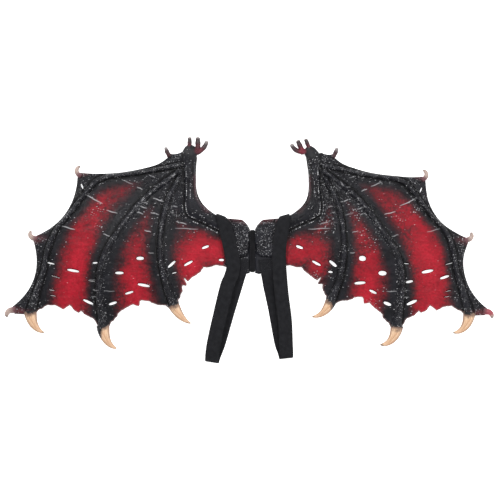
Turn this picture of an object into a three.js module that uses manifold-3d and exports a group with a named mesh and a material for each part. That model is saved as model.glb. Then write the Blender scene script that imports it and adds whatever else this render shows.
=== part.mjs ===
// Devil costume wings: two cast foam wings joined by a cloth strip, with two elastic shoulder straps.
// They lie on their backs, in millimetres: X runs along the span, Y towards the hands, and Z up out of
// the painted faces. The origin is the middle of the strip's underside.
// A wing is laid out in "out" (distance from the strip) and "up" (towards the hand), as a right wing is
// seen from the front. Angles run clockwise in that view.

import * as THREE from 'three';
import { mergeVertices } from 'three/addons/utils/BufferGeometryUtils.js';
import Module from 'manifold-3d';

const wasm = await Module();
wasm.setup();

// Driving dimensions
const GAP = 0.3;
const SHEET = { thickness: 3, lift: 2.6, grid: 21, outEnd: 451, upStart: -158, upEnd: 182 };
const DOME = { height: 22, rootOut: 45, tipOut: 430, reach: 150, billow: 0.3, ridge: 26 };
const BONE = { sunk: 5, arcSteps: 6, stepsPerRow: 2, roundness: 0.8 };
const PLATE = { inner: 6, outer: 45, bottom: -12, top: 52, corner: 13, rise: 4.8 };
const STRIP = { width: 9.4, bottom: -39, top: 37, height: 6 };
const STRAP = { width: 25, thickness: 1.5, stepsPerRow: 2 };
const PALM = { length: 15, width: 28, depth: 13, endShare: 0.82, rise: 6.8 };
const DIGIT = { lean: 0, base: 0, rise: 6.8, tipRise: 6.8, endShare: 0.5 };
const HORN = { sides: 8, steps: 6, tipShare: 0.1, taper: 1.6 };
const WELD = 1e-4;
const SLIT_STEPS = 4;
const ARC_STEP = 14;

// The right wing lies flexed, up to a few millimetres from the mirror image of the left one
const SIDES = [
  { name: 'left', sign: -1, flexed: false, handTurn: 0 },
  { name: 'right', sign: 1, flexed: true, handTurn: -20 },
];

const COLOURS = {
  bone: { color: 0x26262a, roughness: 0.5, metalness: 0 },
  membrane: { color: 0x8c1a24, roughness: 0.6, metalness: 0 },
  hook: { color: 0xb98f84, roughness: 0.5, metalness: 0 },
  claw: { color: 0xe3b78f, roughness: 0.5, metalness: 0 },
  cloth: { color: 0x1d1d20, roughness: 0.9, metalness: 0 },
};

function table(columns, rows) {
  return rows.map((row) => Object.fromEntries(columns.map((column, i) => [column, row[i]])));
}

// Outline of a wing, clockwise. The stretch that ends at a row bows into the wing, or follows a torn hem.
const OUTLINE = table(['name', 'out', 'up', 'bow', 'hem'], [
  ['root_foot', 5, -40, 0],
  ['root_top', 5, 38, 0],
  ['shoulder', 19, 55, -5],
  ['strap_seat', 54, 58, 0],
  ['saddle', 76, 71, 1],
  ['waist', 101, 124, 8],
  ['wrist_in', 99, 167, 1.2],
  ['wrist_out', 127, 176, 0],
  ['spur_in', 147, 173, 1.8],
  ['spur_out', 151, 167, 0],
  ['top_dip', 183, 150, 2.5],
  ['hook_1_in', 309, 139, 5.9],
  ['hook_1_out', 313, 132, 0],
  ['hook_2_in', 387, 26, 20.6],
  ['hook_2_out', 392, 18, 0],
  ['tip_in', 430, -101, 21.8],
  ['tip_out', 426, -113, 0],
  ['claw_1_out', 407, -114, 0],
  ['claw_1_in', 387, -111, 0],
  ['claw_2_out', 277.5, -140, 0, 'outer'],
  ['claw_2_in', 256.5, -136, 0],
  ['claw_3_out', 147.5, -104, 0, 'middle'],
  ['claw_3_in', 131.5, -97, 0],
  ['root_hem', 46, -30, 0, 'inner'],
  ['root_corner', 12, -42, 0],
]);

// Torn hems between the claws: share of the way along, and height above the straight line
const HEM_COLUMNS = ['share', 'rise'];
const HEMS = {
  outer: table(HEM_COLUMNS, [
    [0.02, 5], [0.07, 10], [0.15, 19], [0.27, 21], [0.4, 17.5], [0.477, 28.5], [0.51, 27],
    [0.55, 22.5], [0.65, 19.5], [0.676, 24], [0.76, 19], [0.89, 16.5], [0.99, 5.5],
  ]),
  middle: table(HEM_COLUMNS, [
    [0.05, 6.5], [0.17, 13], [0.185, 18], [0.27, 21], [0.46, 26.5], [0.53, 20.5], [0.555, 21],
    [0.58, 29], [0.61, 29.5], [0.73, 23], [0.755, 19.5], [0.82, 14], [0.95, 7],
  ]),
  inner: table(HEM_COLUMNS, [
    [0.04, 7], [0.18, 14.5], [0.217, 21.5], [0.25, 22.5], [0.29, 18], [0.313, 20.5], [0.327, 30.5],
    [0.345, 31.5], [0.355, 23], [0.47, 24], [0.62, 23], [0.7, 26.5], [0.745, 21.5], [0.88, 14.5],
    [0.975, 5],
  ]),
};

// Slits cut through the membrane. A slit gapes more or less on each wing.
const SLITS = table(['out', 'up', 'length', 'slope', 'left', 'right'], [
  [305, 115, 9.5, 69, 2.2, 1.8],
  [360, -23, 13, 12, 1.8, 1.2],
  [320, -36, 21.5, 10, 3.6, 4.5],
  [280, -22, 9, -5, 2.4, 1.2],
  [352, -47, 17, 17, 1.2, 3.6],
  [359, -71, 10, 10, 1.2, 1.2],
  [357, -81, 10, 10, 1.2, 1.2],
  [287, -54.5, 13, 12, 1.2, 3.6],
  [293.5, -92, 19.5, 24, 3.6, 4.5],
  [237, -40, 14.5, 0, 4, 7],
  [200, -14, 13, 0, 5, 8],
  [194, -62, 21.5, 10.5, 4, 4.5],
  [220, -75.5, 15, -17, 3, 3.6],
  [249.5, -94.5, 14.5, -18, 3.6, 4.5],
  [144, -24.5, 17, -42, 3.6, 4.5],
  [139.5, -40, 8, -15, 1.2, 3.2],
  [114.5, -23, 17, -29, 3.4, 3.4],
  [84, 6, 13, -21, 3.4, 3.6],
  [55.5, -17, 9, 0, 3.2, 3.2],
]);

// Bones raised on the painted face: the arm, and three fingers that end at the claws
const BONE_COLUMNS = ['out', 'up', 'half', 'rise'];
const BONES = {
  arm: table(BONE_COLUMNS, [
    [113, 163, 11.5, 8.5],
    [112, 126, 11, 8.5],
    [111, 99, 11.5, 8.5],
    [104.5, 78, 13.5, 9],
    [88.5, 62.5, 14.5, 9],
    [66, 51, 14.5, 8.5],
    [51, 46.5, 13.5, 8],
  ]),
  finger_1: table(BONE_COLUMNS, [
    [131, 153, 4.5, 6],
    [200, 140, 4, 5],
    [262, 131.5, 4.5, 5],
    [279, 124, 5, 5.5],
    [301, 99, 4.5, 5.5],
    [326, 66.5, 4, 5],
    [350, 38, 4.5, 5],
    [366, 1, 5, 5],
    [373, -35, 5, 5],
    [385, -71, 6, 6],
    [396, -106.5, 8.5, 8],
  ]),
  finger_2: table(BONE_COLUMNS, [
    [131, 142, 4.5, 6],
    [192, 94, 5, 6],
    [237, 37, 5, 5.5],
    [267, -17, 5, 5.5],
    [274, -75, 5.5, 6],
    [270, -115, 7, 7],
    [267, -134, 9, 8.5],
  ]),
  finger_3: table(BONE_COLUMNS, [
    [131, 130, 4.5, 6],
    [150, 93, 5, 6],
    [162, 40, 5, 5.5],
    [164.5, 0, 5, 5.5],
    [156.5, -53, 5.5, 6],
    [147, -82, 6.5, 7],
    [140, -97, 8, 8],
  ]),
};

// Horns on the edge, each on the root edge between two corners of the outline
const HORN_COLUMNS = ['name', 'from', 'to', 'length', 'lean', 'turn', 'width', 'depth', 'rise', 'tipRise'];
const HOOKS = table(HORN_COLUMNS, [
  ['spur', 'spur_in', 'spur_out', 17, -20, -30, 6.8, 7, 4, 7],
  ['hook_1', 'hook_1_in', 'hook_1_out', 18, -30, -95, 7.8, 8, 4.4, 6],
  ['hook_2', 'hook_2_in', 'hook_2_out', 20, 25, -115, 9, 8, 4.4, 6],
  ['hook_3', 'tip_in', 'tip_out', 22, -10, 110, 12, 9, 4.6, 5],
]);
const CLAWS = {
  left: table(HORN_COLUMNS, [
    ['claw_1', 'claw_1_out', 'claw_1_in', 43, 0, 58, 19.4, 14, 7, 5],
    ['claw_2', 'claw_2_out', 'claw_2_in', 47, -4, 55, 20.4, 14, 6.8, 5],
    ['claw_3', 'claw_3_out', 'claw_3_in', 43, 5, 32, 17, 13, 6, 2.5],
  ]),
  right: table(HORN_COLUMNS, [
    ['claw_1', 'claw_1_out', 'claw_1_in', 46, 0, 74, 19, 14, 7, 5],
    ['claw_2', 'claw_2_out', 'claw_2_in', 46, 2, 70, 20.4, 14, 6.8, 5],
    ['claw_3', 'claw_3_out', 'claw_3_in', 44, 2, 55, 17, 13, 6, 2.5],
  ]),
};

// Fingers of the small hand at the wrist. A heading of 90 points away from the root's foot.
const DIGITS = table(['out', 'up', 'heading', 'turn', 'length', 'width'], [
  [112.5, 183, 91, 0, 21, 6],
  [97.5, 181, 90, 0, 23, 7.5],
  [97, 176, 155, 55, 27, 6.5],
]);

// How far the right wing's foam lies from the left one's mirror image
const FLEX_SPREAD = 30;
const FLEX = table(['out', 'up', 'moveOut', 'moveUp'], [
  [20, 0, 0, 0],
  [85, 77, 4, 0],
  [101, 122, 0, 0],
  [99, 167, -3, -1],
  [150, 168, -4, -1],
  [230, 140, -1, -4],
  [311, 135, -3, -7],
  [325, 80, -5, -6],
  [390, 22, -5, -3],
  [386, -20, -9, 0],
  [430, -101, -10, -3],
  [397, -112, -9, -2],
  [267, -139, -9, -1],
  [140, -100, 0, 8],
  [100, -35, 0, 0],
  [250, 30, -6, -1],
]);

// Straps: from the tail sewn behind the shoulder, over its top edge, down the front to a fold, and back
// beneath to an end sewn on the root. "rise" is the height of the webbing's middle.
const STRAP_COLUMNS = ['out', 'up', 'rise', 'yaw'];
const STRAPS = {
  left: table(STRAP_COLUMNS, [
    [50, 28, 1.3, -5],
    [48.5, 50, 1.3, 0],
    [47.5, 61, 1.5, 8],
    [47.5, 65, 4, 8],
    [47.5, 65.5, 8.5, 8],
    [47.5, 63, 13.6, 6],
    [47.3, 56, 15.9, 0],
    [47, 45, 15.9, -8],
    [44.5, 26, 14.6, -10],
    [38, -3, 12.2, -10],
    [34, -26, 11.6, -4],
    [37.5, -44, 11.4, 6],
    [43.5, -58, 11.5, 13],
    [57.5, -114, 12.2, 14],
    [69.5, -169, 11.5, 11],
    [72, -189, 10.4, 9],
    [72.3, -197.5, 8.6, 9],
    [72.3, -200, 5.7, 9],
    [71.8, -197.5, 2.9, 10],
    [69.5, -190, 1.6, 13],
    [61.5, -169, 1.2, 16],
    [45.5, -114, 1.2, 16],
    [29.5, -61, 1.5, 16],
    [26, -49, 4.2, 16],
    [23.5, -41, 7, 16],
    [18.5, -22, 7, 10],
    [18, -15.5, 7, 4],
  ]),
  right: table(STRAP_COLUMNS, [
    [57, 30, 1.3, 4],
    [56.5, 50, 1.3, 10],
    [56, 61, 1.5, 15],
    [56, 66.5, 4, 15],
    [56, 67.5, 8.5, 15],
    [56, 64.5, 13.8, 14],
    [56, 57, 16.1, 6],
    [55.5, 46, 16.1, -3],
    [51.5, 28, 15, -8],
    [48.5, 0, 12.3, -6],
    [48.8, -28, 11.5, 0],
    [52.5, -80, 11.8, 5],
    [58, -124, 12.2, 4],
    [60, -169, 11.5, 4],
    [60.6, -182, 10.4, 5],
    [60.6, -190.5, 8.6, 6],
    [60.3, -193, 5.7, 6],
    [59.8, -190.5, 2.9, 7],
    [58, -183, 1.6, 11],
    [53, -169, 1.2, 13],
    [40, -101, 1.2, 12],
    [31.5, -62, 1.5, 12],
    [29.5, -50, 4.2, 12],
    [28, -42, 7, 12],
    [25, -23, 7, 7],
    [24.5, -16, 7, 3],
  ]),
};

const corner = Object.fromEntries(OUTLINE.map((row) => [row.name, new THREE.Vector2(row.out, row.up)]));
const radians = THREE.MathUtils.degToRad;

// Where a point of the layout lies on one wing
function place(side, point) {
  const moved = point.clone();
  if (side.flexed) {
    const shift = new THREE.Vector2();
    let total = 0;
    for (const anchor of FLEX) {
      const near = (point.x - anchor.out) ** 2 + (point.y - anchor.up) ** 2;
      const weight = (near + FLEX_SPREAD ** 2) ** -2;
      shift.x += weight * anchor.moveOut;
      shift.y += weight * anchor.moveUp;
      total += weight;
    }
    moved.addScaledVector(shift, 1 / total);
  }
  moved.x *= side.sign;
  return moved;
}

function raise(side, point, height) {
  const flat = place(side, point);
  return new THREE.Vector3(flat.x, flat.y, height);
}

// Centre line of a bone in the layout, with its half width and rise at each station
function boneStations(rows) {
  const line = new THREE.CatmullRomCurve3(rows.map((row) => new THREE.Vector3(row.out, row.up, 0)));
  const girth = new THREE.CatmullRomCurve3(rows.map((row) => new THREE.Vector3(row.half, row.rise, 0)));
  const count = (rows.length - 1) * BONE.stepsPerRow;
  return Array.from({ length: count + 1 }, (_, i) => {
    const at = line.getPoint(i / count);
    const ahead = line.getTangent(i / count);
    const size = girth.getPoint(i / count);
    return {
      at: new THREE.Vector2(at.x, at.y),
      across: new THREE.Vector2(-ahead.y, ahead.x),
      half: size.x,
      rise: size.y,
    };
  });
}

const boneLines = Object.values(BONES).map((rows) => boneStations(rows).map((station) => station.at));

function distanceToLine(point, line) {
  let best = Infinity;
  for (let i = 1; i < line.length; i += 1) {
    const along = line[i].clone().sub(line[i - 1]);
    const offset = point.clone().sub(line[i - 1]);
    const share = THREE.MathUtils.clamp(offset.dot(along) / along.lengthSq(), 0, 1);
    best = Math.min(best, offset.addScaledVector(along, -share).length());
  }
  return best;
}

// Height of the membrane's back: a low dome that billows down between the bones
function backHeight(point) {
  const span = THREE.MathUtils.clamp((point.x - DOME.rootOut) / (DOME.tipOut - DOME.rootOut), 0, 1);
  const drop = Math.min(1, Math.abs(point.y) / DOME.reach);
  const dome = DOME.height * Math.sin(Math.PI * span) ** 2 * Math.cos((Math.PI / 2) * drop) ** 2;
  let slack = 1;
  for (const line of boneLines) {
    slack *= 1 - Math.exp(-((distanceToLine(point, line) / DOME.ridge) ** 2));
  }
  return SHEET.lift + dome * (1 - DOME.billow * slack);
}

function frontHeight(point) {
  return backHeight(point) + SHEET.thickness;
}

// A closed geometry from points and triangles, turned so that its faces point out
function closedGeometry(points, triangles) {
  let volume = 0;
  for (const [a, b, c] of triangles) {
    volume += points[a].dot(points[b].clone().cross(points[c]));
  }
  const outward = volume > 0 ? triangles : triangles.map(([a, b, c]) => [a, c, b]);
  const geometry = new THREE.BufferGeometry().setFromPoints(points);
  geometry.setIndex(outward.flat());
  geometry.computeVertexNormals();
  return geometry;
}

// Skin over rings with the same number of points, with a flat cap at each end
function loft(rings) {
  const count = rings[0].length;
  const triangles = [];
  for (let ring = 1; ring < rings.length; ring += 1) {
    for (let i = 0; i < count; i += 1) {
      const next = (i + 1) % count;
      const low = (ring - 1) * count;
      const high = ring * count;
      triangles.push([low + i, low + next, high + next], [low + i, high + next, high + i]);
    }
  }
  const last = (rings.length - 1) * count;
  for (let i = 1; i < count - 1; i += 1) {
    triangles.push([0, i + 1, i], [last, last + i, last + i + 1]);
  }
  return closedGeometry(rings.flat(), triangles);
}

function toSolid(geometry) {
  const bare = geometry.clone();
  bare.deleteAttribute('normal');
  bare.deleteAttribute('uv');
  const merged = mergeVertices(bare, WELD);
  return new wasm.Manifold(new wasm.Mesh({
    numProp: 3,
    vertProperties: merged.attributes.position.array,
    triVerts: new Uint32Array(merged.index.array),
  }));
}

function toGeometry(solid) {
  const mesh = solid.getMesh();
  const geometry = new THREE.BufferGeometry();
  geometry.setAttribute('position', new THREE.BufferAttribute(mesh.vertProperties, 3));
  geometry.setIndex(new THREE.BufferAttribute(mesh.triVerts, 1));
  geometry.computeVertexNormals();
  return geometry;
}

// Points of the wing's outline in the layout, with bowed stretches and torn hems
function outlinePoints() {
  const points = [];
  OUTLINE.forEach((row, i) => {
    const start = corner[OUTLINE[(i + OUTLINE.length - 1) % OUTLINE.length].name];
    const run = corner[row.name].clone().sub(start);
    const inward = new THREE.Vector2(run.y, -run.x).normalize();
    if (row.hem) {
      for (const tear of HEMS[row.hem]) {
        points.push(start.clone().addScaledVector(run, tear.share).addScaledVector(inward, tear.rise));
      }
    }
    const steps = row.bow ? Math.max(2, Math.round(run.length() / ARC_STEP)) : 1;
    for (let step = 1; step <= steps; step += 1) {
      const share = step / steps;
      const sag = 4 * row.bow * share * (1 - share);
      points.push(start.clone().addScaledVector(run, share).addScaledVector(inward, sag));
    }
  });
  return points;
}

// Lens-shaped outline of a slit in the layout
function slitPoints(row, gape) {
  const along = new THREE.Vector2(Math.cos(radians(row.slope)), Math.sin(radians(row.slope)));
  const across = new THREE.Vector2(-along.y, along.x);
  const points = [];
  for (let i = 0; i < 2 * SLIT_STEPS; i += 1) {
    const turn = (Math.PI * i) / SLIT_STEPS;
    const lip = Math.sin(turn) * Math.abs(Math.sin(turn)) * gape / 2;
    const centre = new THREE.Vector2(row.out, row.up);
    points.push(centre.addScaledVector(along, Math.cos(turn) * row.length / 2).addScaledVector(across, lip));
  }
  return points;
}

function prism(side, outline, holes, bottom, top) {
  const shape = new THREE.Shape(outline.map((point) => place(side, point)));
  shape.holes = holes.map((hole) => new THREE.Path(hole.map((point) => place(side, point))));
  const geometry = new THREE.ExtrudeGeometry(shape, { depth: top - bottom, bevelEnabled: false });
  return toSolid(geometry.translate(0, 0, bottom));
}

// A slab over the whole layout between two heights given as functions of the layout's point
function slab(side, lower, upper) {
  const columns = Math.ceil(SHEET.outEnd / SHEET.grid);
  const rows = Math.ceil((SHEET.upEnd - SHEET.upStart) / SHEET.grid);
  const low = [];
  const high = [];
  for (let row = 0; row <= rows; row += 1) {
    for (let column = 0; column <= columns; column += 1) {
      const point = new THREE.Vector2(column * SHEET.grid, SHEET.upStart + row * SHEET.grid);
      low.push(raise(side, point, lower(point)));
      high.push(raise(side, point, upper(point)));
    }
  }
  const index = (column, row) => row * (columns + 1) + column;
  const triangles = [];
  for (let row = 0; row < rows; row += 1) {
    for (let column = 0; column < columns; column += 1) {
      const a = index(column, row);
      const b = index(column + 1, row);
      const c = index(column + 1, row + 1);
      const d = index(column, row + 1);
      triangles.push([a, c, b], [a, d, c]);
      triangles.push([a + low.length, b + low.length, c + low.length]);
      triangles.push([a + low.length, c + low.length, d + low.length]);
    }
  }
  const rim = [];
  for (let column = 0; column < columns; column += 1) rim.push(index(column, 0));
  for (let row = 0; row < rows; row += 1) rim.push(index(columns, row));
  for (let column = columns; column > 0; column -= 1) rim.push(index(column, rows));
  for (let row = rows; row > 0; row -= 1) rim.push(index(0, row));
  rim.forEach((a, i) => {
    const b = rim[(i + 1) % rim.length];
    triangles.push([a, b, b + low.length], [a, b + low.length, a + low.length]);
  });
  return toSolid(closedGeometry([...low, ...high], triangles));
}

function membrane(side) {
  const holes = SLITS.map((row) => slitPoints(row, row[side.name]));
  const cut = prism(side, outlinePoints(), holes, -SHEET.lift, 2 * DOME.height);
  return toGeometry(slab(side, backHeight, frontHeight).intersect(cut));
}

// Everything up to just above the membrane's front, which trims what sits on it
function bed(side) {
  return slab(side, () => -DOME.height, (point) => frontHeight(point) + GAP);
}

// A half-round bar along a bone's line, trimmed to the membrane
function bone(side, rows, trim) {
  const rings = boneStations(rows).map((station) => {
    const base = frontHeight(station.at);
    const ring = [];
    for (let step = 0; step <= BONE.arcSteps; step += 1) {
      const turn = (Math.PI * step) / BONE.arcSteps;
      const aside = station.at.clone().addScaledVector(station.across, station.half * Math.cos(turn));
      ring.push(raise(side, aside, base + station.rise * Math.sin(turn) ** BONE.roundness));
    }
    for (const reach of [-station.half, station.half]) {
      const aside = station.at.clone().addScaledVector(station.across, reach);
      ring.push(raise(side, aside, base - BONE.sunk));
    }
    return ring;
  });
  return toGeometry(toSolid(loft(rings)).subtract(trim));
}

function rootPlate(side, trim) {
  const { inner, outer, bottom, top, corner: round } = PLATE;
  const outline = [
    new THREE.Vector2(inner, bottom),
    new THREE.Vector2(outer, bottom),
    new THREE.Vector2(outer, top),
  ];
  for (const turn of [90, 120, 150, 180]) {
    const reach = new THREE.Vector2(Math.cos(radians(turn)), Math.sin(radians(turn)));
    outline.push(new THREE.Vector2(inner + round, top - round).addScaledVector(reach, round));
  }
  const crown = SHEET.lift + SHEET.thickness + GAP + PLATE.rise;
  return toGeometry(prism(side, outline, [], 0, crown).subtract(trim));
}

// A tapered horn on a root that faces a heading. It leans at once, then curls by a turn.
function horn(side, start, heading, shape) {
  const { length, lean, turn, width, depth, base, rise, tipRise, endShare } = shape;
  const rings = [];
  const at = start.clone();
  for (let step = 0; step <= HORN.steps; step += 1) {
    const share = step / HORN.steps;
    const bearing = radians(heading - (step ? lean : 0) - turn * share);
    const ahead = new THREE.Vector2(Math.cos(bearing), Math.sin(bearing));
    const across = new THREE.Vector2(-ahead.y, ahead.x);
    const girth = 1 - (1 - endShare) * share ** HORN.taper;
    const height = base + rise + (tipRise - rise) * share;
    const ring = [];
    for (let i = 0; i < HORN.sides; i += 1) {
      const spin = (2 * Math.PI * i) / HORN.sides;
      const point = at.clone().addScaledVector(across, girth * (width / 2) * Math.cos(spin));
      ring.push(raise(side, point, height + girth * (depth / 2) * Math.sin(spin)));
    }
    rings.push(ring);
    const half = radians(heading - lean - turn * (share + 0.5 / HORN.steps));
    at.addScaledVector(new THREE.Vector2(Math.cos(half), Math.sin(half)), length / HORN.steps);
  }
  return loft(rings);
}

// The middle of a root edge, a gap clear of the membrane, and the heading straight out of it
function rootOf(from, to) {
  const run = corner[to].clone().sub(corner[from]);
  const outward = new THREE.Vector2(-run.y, run.x).normalize();
  const start = corner[from].clone().add(corner[to]).multiplyScalar(0.5).addScaledVector(outward, GAP);
  return { start, heading: THREE.MathUtils.radToDeg(Math.atan2(outward.y, outward.x)) };
}

function edgeHorn(side, row) {
  const { start, heading } = rootOf(row.from, row.to);
  const base = backHeight(start) - SHEET.lift;
  return horn(side, start, heading, { ...row, base, endShare: HORN.tipShare });
}

// The palm and its three bent fingers, as one casting
function hand(side) {
  const { start, heading } = rootOf('wrist_in', 'wrist_out');
  const palm = { ...PALM, base: 0, tipRise: PALM.rise, lean: 0, turn: side.handTurn };
  let solid = toSolid(horn(side, start, heading, palm));
  for (const row of DIGITS) {
    const knuckle = new THREE.Vector2(row.out, row.up).rotateAround(start, radians(-side.handTurn));
    const digit = { ...row, ...DIGIT, depth: row.width };
    solid = solid.add(toSolid(horn(side, knuckle, row.heading - side.handTurn, digit)));
  }
  return toGeometry(solid);
}

// A flat band of webbing through the rows of a route
function strap(side, rows) {
  const middle = rows.map((row) => new THREE.Vector3(side.sign * row.out, row.up, row.rise));
  const line = new THREE.CatmullRomCurve3(middle);
  const yaws = new THREE.CatmullRomCurve3(rows.map((row) => new THREE.Vector3(row.yaw, 0, 0)));
  const count = (rows.length - 1) * STRAP.stepsPerRow;
  const rings = [];
  for (let i = 0; i <= count; i += 1) {
    const yaw = radians(yaws.getPoint(i / count).x);
    const across = new THREE.Vector3(side.sign * Math.cos(yaw), Math.sin(yaw), 0);
    const face = across.clone().cross(line.getTangent(i / count)).normalize();
    const at = line.getPoint(i / count);
    const ends = [[1, 1], [1, -1], [-1, -1], [-1, 1]];
    rings.push(ends.map(([u, v]) => at.clone()
      .addScaledVector(across, u * STRAP.width / 2)
      .addScaledVector(face, v * STRAP.thickness / 2)));
  }
  return loft(rings);
}

function centreStrip() {
  const geometry = new THREE.BoxGeometry(STRIP.width, STRIP.top - STRIP.bottom, STRIP.height);
  return geometry.translate(0, (STRIP.top + STRIP.bottom) / 2, STRIP.height / 2);
}

function piece(name, geometry, colour) {
  const mesh = new THREE.Mesh(geometry, new THREE.MeshStandardMaterial(COLOURS[colour]));
  mesh.name = name;
  return mesh;
}

function wing(side) {
  const group = new THREE.Group();
  const trim = bed(side);
  const add = (name, geometry, colour) => group.add(piece(`${side.name}_${name}`, geometry, colour));
  add('membrane', membrane(side), 'membrane');
  for (const [name, rows] of Object.entries(BONES)) add(name, bone(side, rows, trim), 'bone');
  add('root_plate', rootPlate(side, trim), 'bone');
  add('hand', hand(side), 'bone');
  for (const row of HOOKS) add(row.name, edgeHorn(side, row), 'hook');
  for (const row of CLAWS[side.name]) add(row.name, edgeHorn(side, row), 'claw');
  add('strap', strap(side, STRAPS[side.name]), 'cloth');
  return group;
}

const wings = new THREE.Group();
for (const side of SIDES) wings.add(wing(side));
wings.add(piece('centre_strip', centreStrip(), 'cloth'));

export default wings;
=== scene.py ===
# Devil costume wings: cast foam wings with airbrushed webs, horns, a cloth strip and elastic straps.
# Each wing is laid out in millimetres, in "out" (distance from the strip) and "up" (towards the hand),
# as a right wing is seen from the front. Meshes are written in metres.

import math
from types import SimpleNamespace

import bmesh
import bpy
import numpy as np
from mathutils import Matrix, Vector, kdtree
from mathutils.geometry import delaunay_2d_cdt


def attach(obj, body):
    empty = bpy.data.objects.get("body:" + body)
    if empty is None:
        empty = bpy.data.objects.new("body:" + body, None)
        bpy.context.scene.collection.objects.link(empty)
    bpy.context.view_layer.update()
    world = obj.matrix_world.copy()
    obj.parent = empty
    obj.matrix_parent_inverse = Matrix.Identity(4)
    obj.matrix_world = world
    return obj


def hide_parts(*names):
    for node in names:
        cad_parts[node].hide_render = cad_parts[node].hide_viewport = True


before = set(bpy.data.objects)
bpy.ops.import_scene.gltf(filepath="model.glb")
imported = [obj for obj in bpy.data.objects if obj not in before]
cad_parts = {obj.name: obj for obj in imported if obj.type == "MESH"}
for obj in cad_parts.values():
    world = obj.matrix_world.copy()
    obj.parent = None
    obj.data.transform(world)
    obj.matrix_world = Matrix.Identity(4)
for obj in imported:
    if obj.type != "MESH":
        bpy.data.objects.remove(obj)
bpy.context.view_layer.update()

MM = 0.001


def table(columns, rows):
    """Rows of values under named columns"""
    names = columns.split()
    return [SimpleNamespace(**dict(zip(names, row))) for row in rows]


SIDES = table("name sign flexed blush seed", [
    ("left", -1, False, 0.4, 3),
    ("right", 1, True, 0.8, 11),
])

# The foam casting. A range runs from the value where a share is 0 to the value where it is 1.
SHEET = SimpleNamespace(thickness=3, lift=2.6)
DOME = SimpleNamespace(height=22, root_out=45, tip_out=430, reach=150, billow=0.3, ridge=26)
PLATE = SimpleNamespace(
    inner=6, outer=45, bottom=-12, top=52, corner=13, rise=4.9, bevel=3, bone_sunk=0.35,
    crease_at=0.08, crease_width=0.07, crease_inner=10,
)
SKIN = SimpleNamespace(
    front_step=1.25, back_step=6.0, edge_step=1.3, bone_step=1.7, closest=0.6, jitter=0.18,
    edge_share=0.7, shaped_share=0.75, back_share=0.5, weld=1e-5, sliver=1e-6,
)
# The rim's shape, the pale torn hems, and the painted shade round the slits' edges
RIM = SimpleNamespace(
    front_drop=1.1, back_lift=0.5, bulge=0.45, reach=1.4, torn_reach=1.3, slit_reach=1.2, slit_ink=0.75,
    front_share=0.6,
)
PLAIN_EDGE = 0
TORN_EDGE = 1
SLIT_EDGE = 2
CREASE = SimpleNamespace(
    depth=1.5, offset=0.9, width=1.9, arm_share=1.45, bone_range=(0.35, 0.05), on_bone=0.5,
)
BONE = SimpleNamespace(
    share=0.82, profile=0.62, edge_range=(1.05, 0.85), lump_length=8, lump_width=6, lump_low=0.93,
    lump_gain=0.14, line_step=4.0, rows=(0.25, 0.5, 0.7, 0.85, 0.95, 1.06, 1.28),
)
ARM = SimpleNamespace(
    edge_range=(1.0, 0.8), strand_width=2.2, strand_length=22, strand_rise=1.5, split_range=(-0.12, -0.36),
    split_share=0.75, edge_line_step=3.0,
)
WRIST = np.array((130.0, 152.0))
WRIST_SWELL = SimpleNamespace(out=116, up=169, rise=5.6, full=4, gone=27)
WRIST_CREASE = SimpleNamespace(full=146, gone=166, share=0.75)
# Silver along the bone crests, partly dry brush and partly a painted highlight
CREST = SimpleNamespace(width=1.2, length=5.5, bare=0.36, brushed_and_lit=0.58, far=160, near=100, far_share=0.1)
CREST_SHARE = {"arm": 0, "finger_1": 0.25, "finger_2": 1, "finger_3": 0.3}
# Dark paint in the creases beside the bones, partly inked lines and partly painted shade: depth on each
# bone's inner side, spread on its outer side, and the band beside it
INNER_CREASE = {"arm": 1, "finger_1": 1, "finger_2": 0.35, "finger_3": 0.75}
OUTER_INK_SHADE = {"arm": 1, "finger_1": 1, "finger_2": 1.5, "finger_3": 1.35}
INKED_SHADE = SimpleNamespace(offset=1.2, width=2.1)
RIPPLE = SimpleNamespace(
    bone_range=(2, 14), root_range=(48, 80), lump=9, lump_rise=0.9, length=26, width=5, rise=0.7,
)
SCALY = SimpleNamespace(
    wrist=0.9, wrist_range=(100, 40), arm_range=(11, 17), finger_range=(46, 30), up_range=(38, 60),
    out_range=(175, 150), bone=0.55, bone_range=(7, 1), outer=0.5, arm_bare=0.85, red_bare=0.8,
    tint_bare=0.9, edge_range=(1.2, 3.0), crease_range=(0.8, 0.3),
)
# Silver flecks over the casting, partly silver paint and partly painted glints
GLINT = SimpleNamespace(
    base=0.1, bone=0.55, bone_range=(9, 1), wrist=0.5, wrist_range=(105, 45), outer=0.75, tip=0.9,
    tip_range=(48, 14), patch_length=9, patch_width=7, patch_range=(0.35, 0.75), patch_low=0.2,
    patch_gain=1.3, red_bare=0.75, arm_bare=0.65, crease_bare=0.85, flecked_full=0.3, flecked_low=0.55,
    flecked_gain=0.6, plate=0.7,
)
OUTER_EDGE_RANGE = (150, 250)
TIP_PATCH = np.array((404.0, -96.0))
SEED = SimpleNamespace(lumps=5, ripples=6, wander=8, patches=9, crest=30, strands=40)

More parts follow.
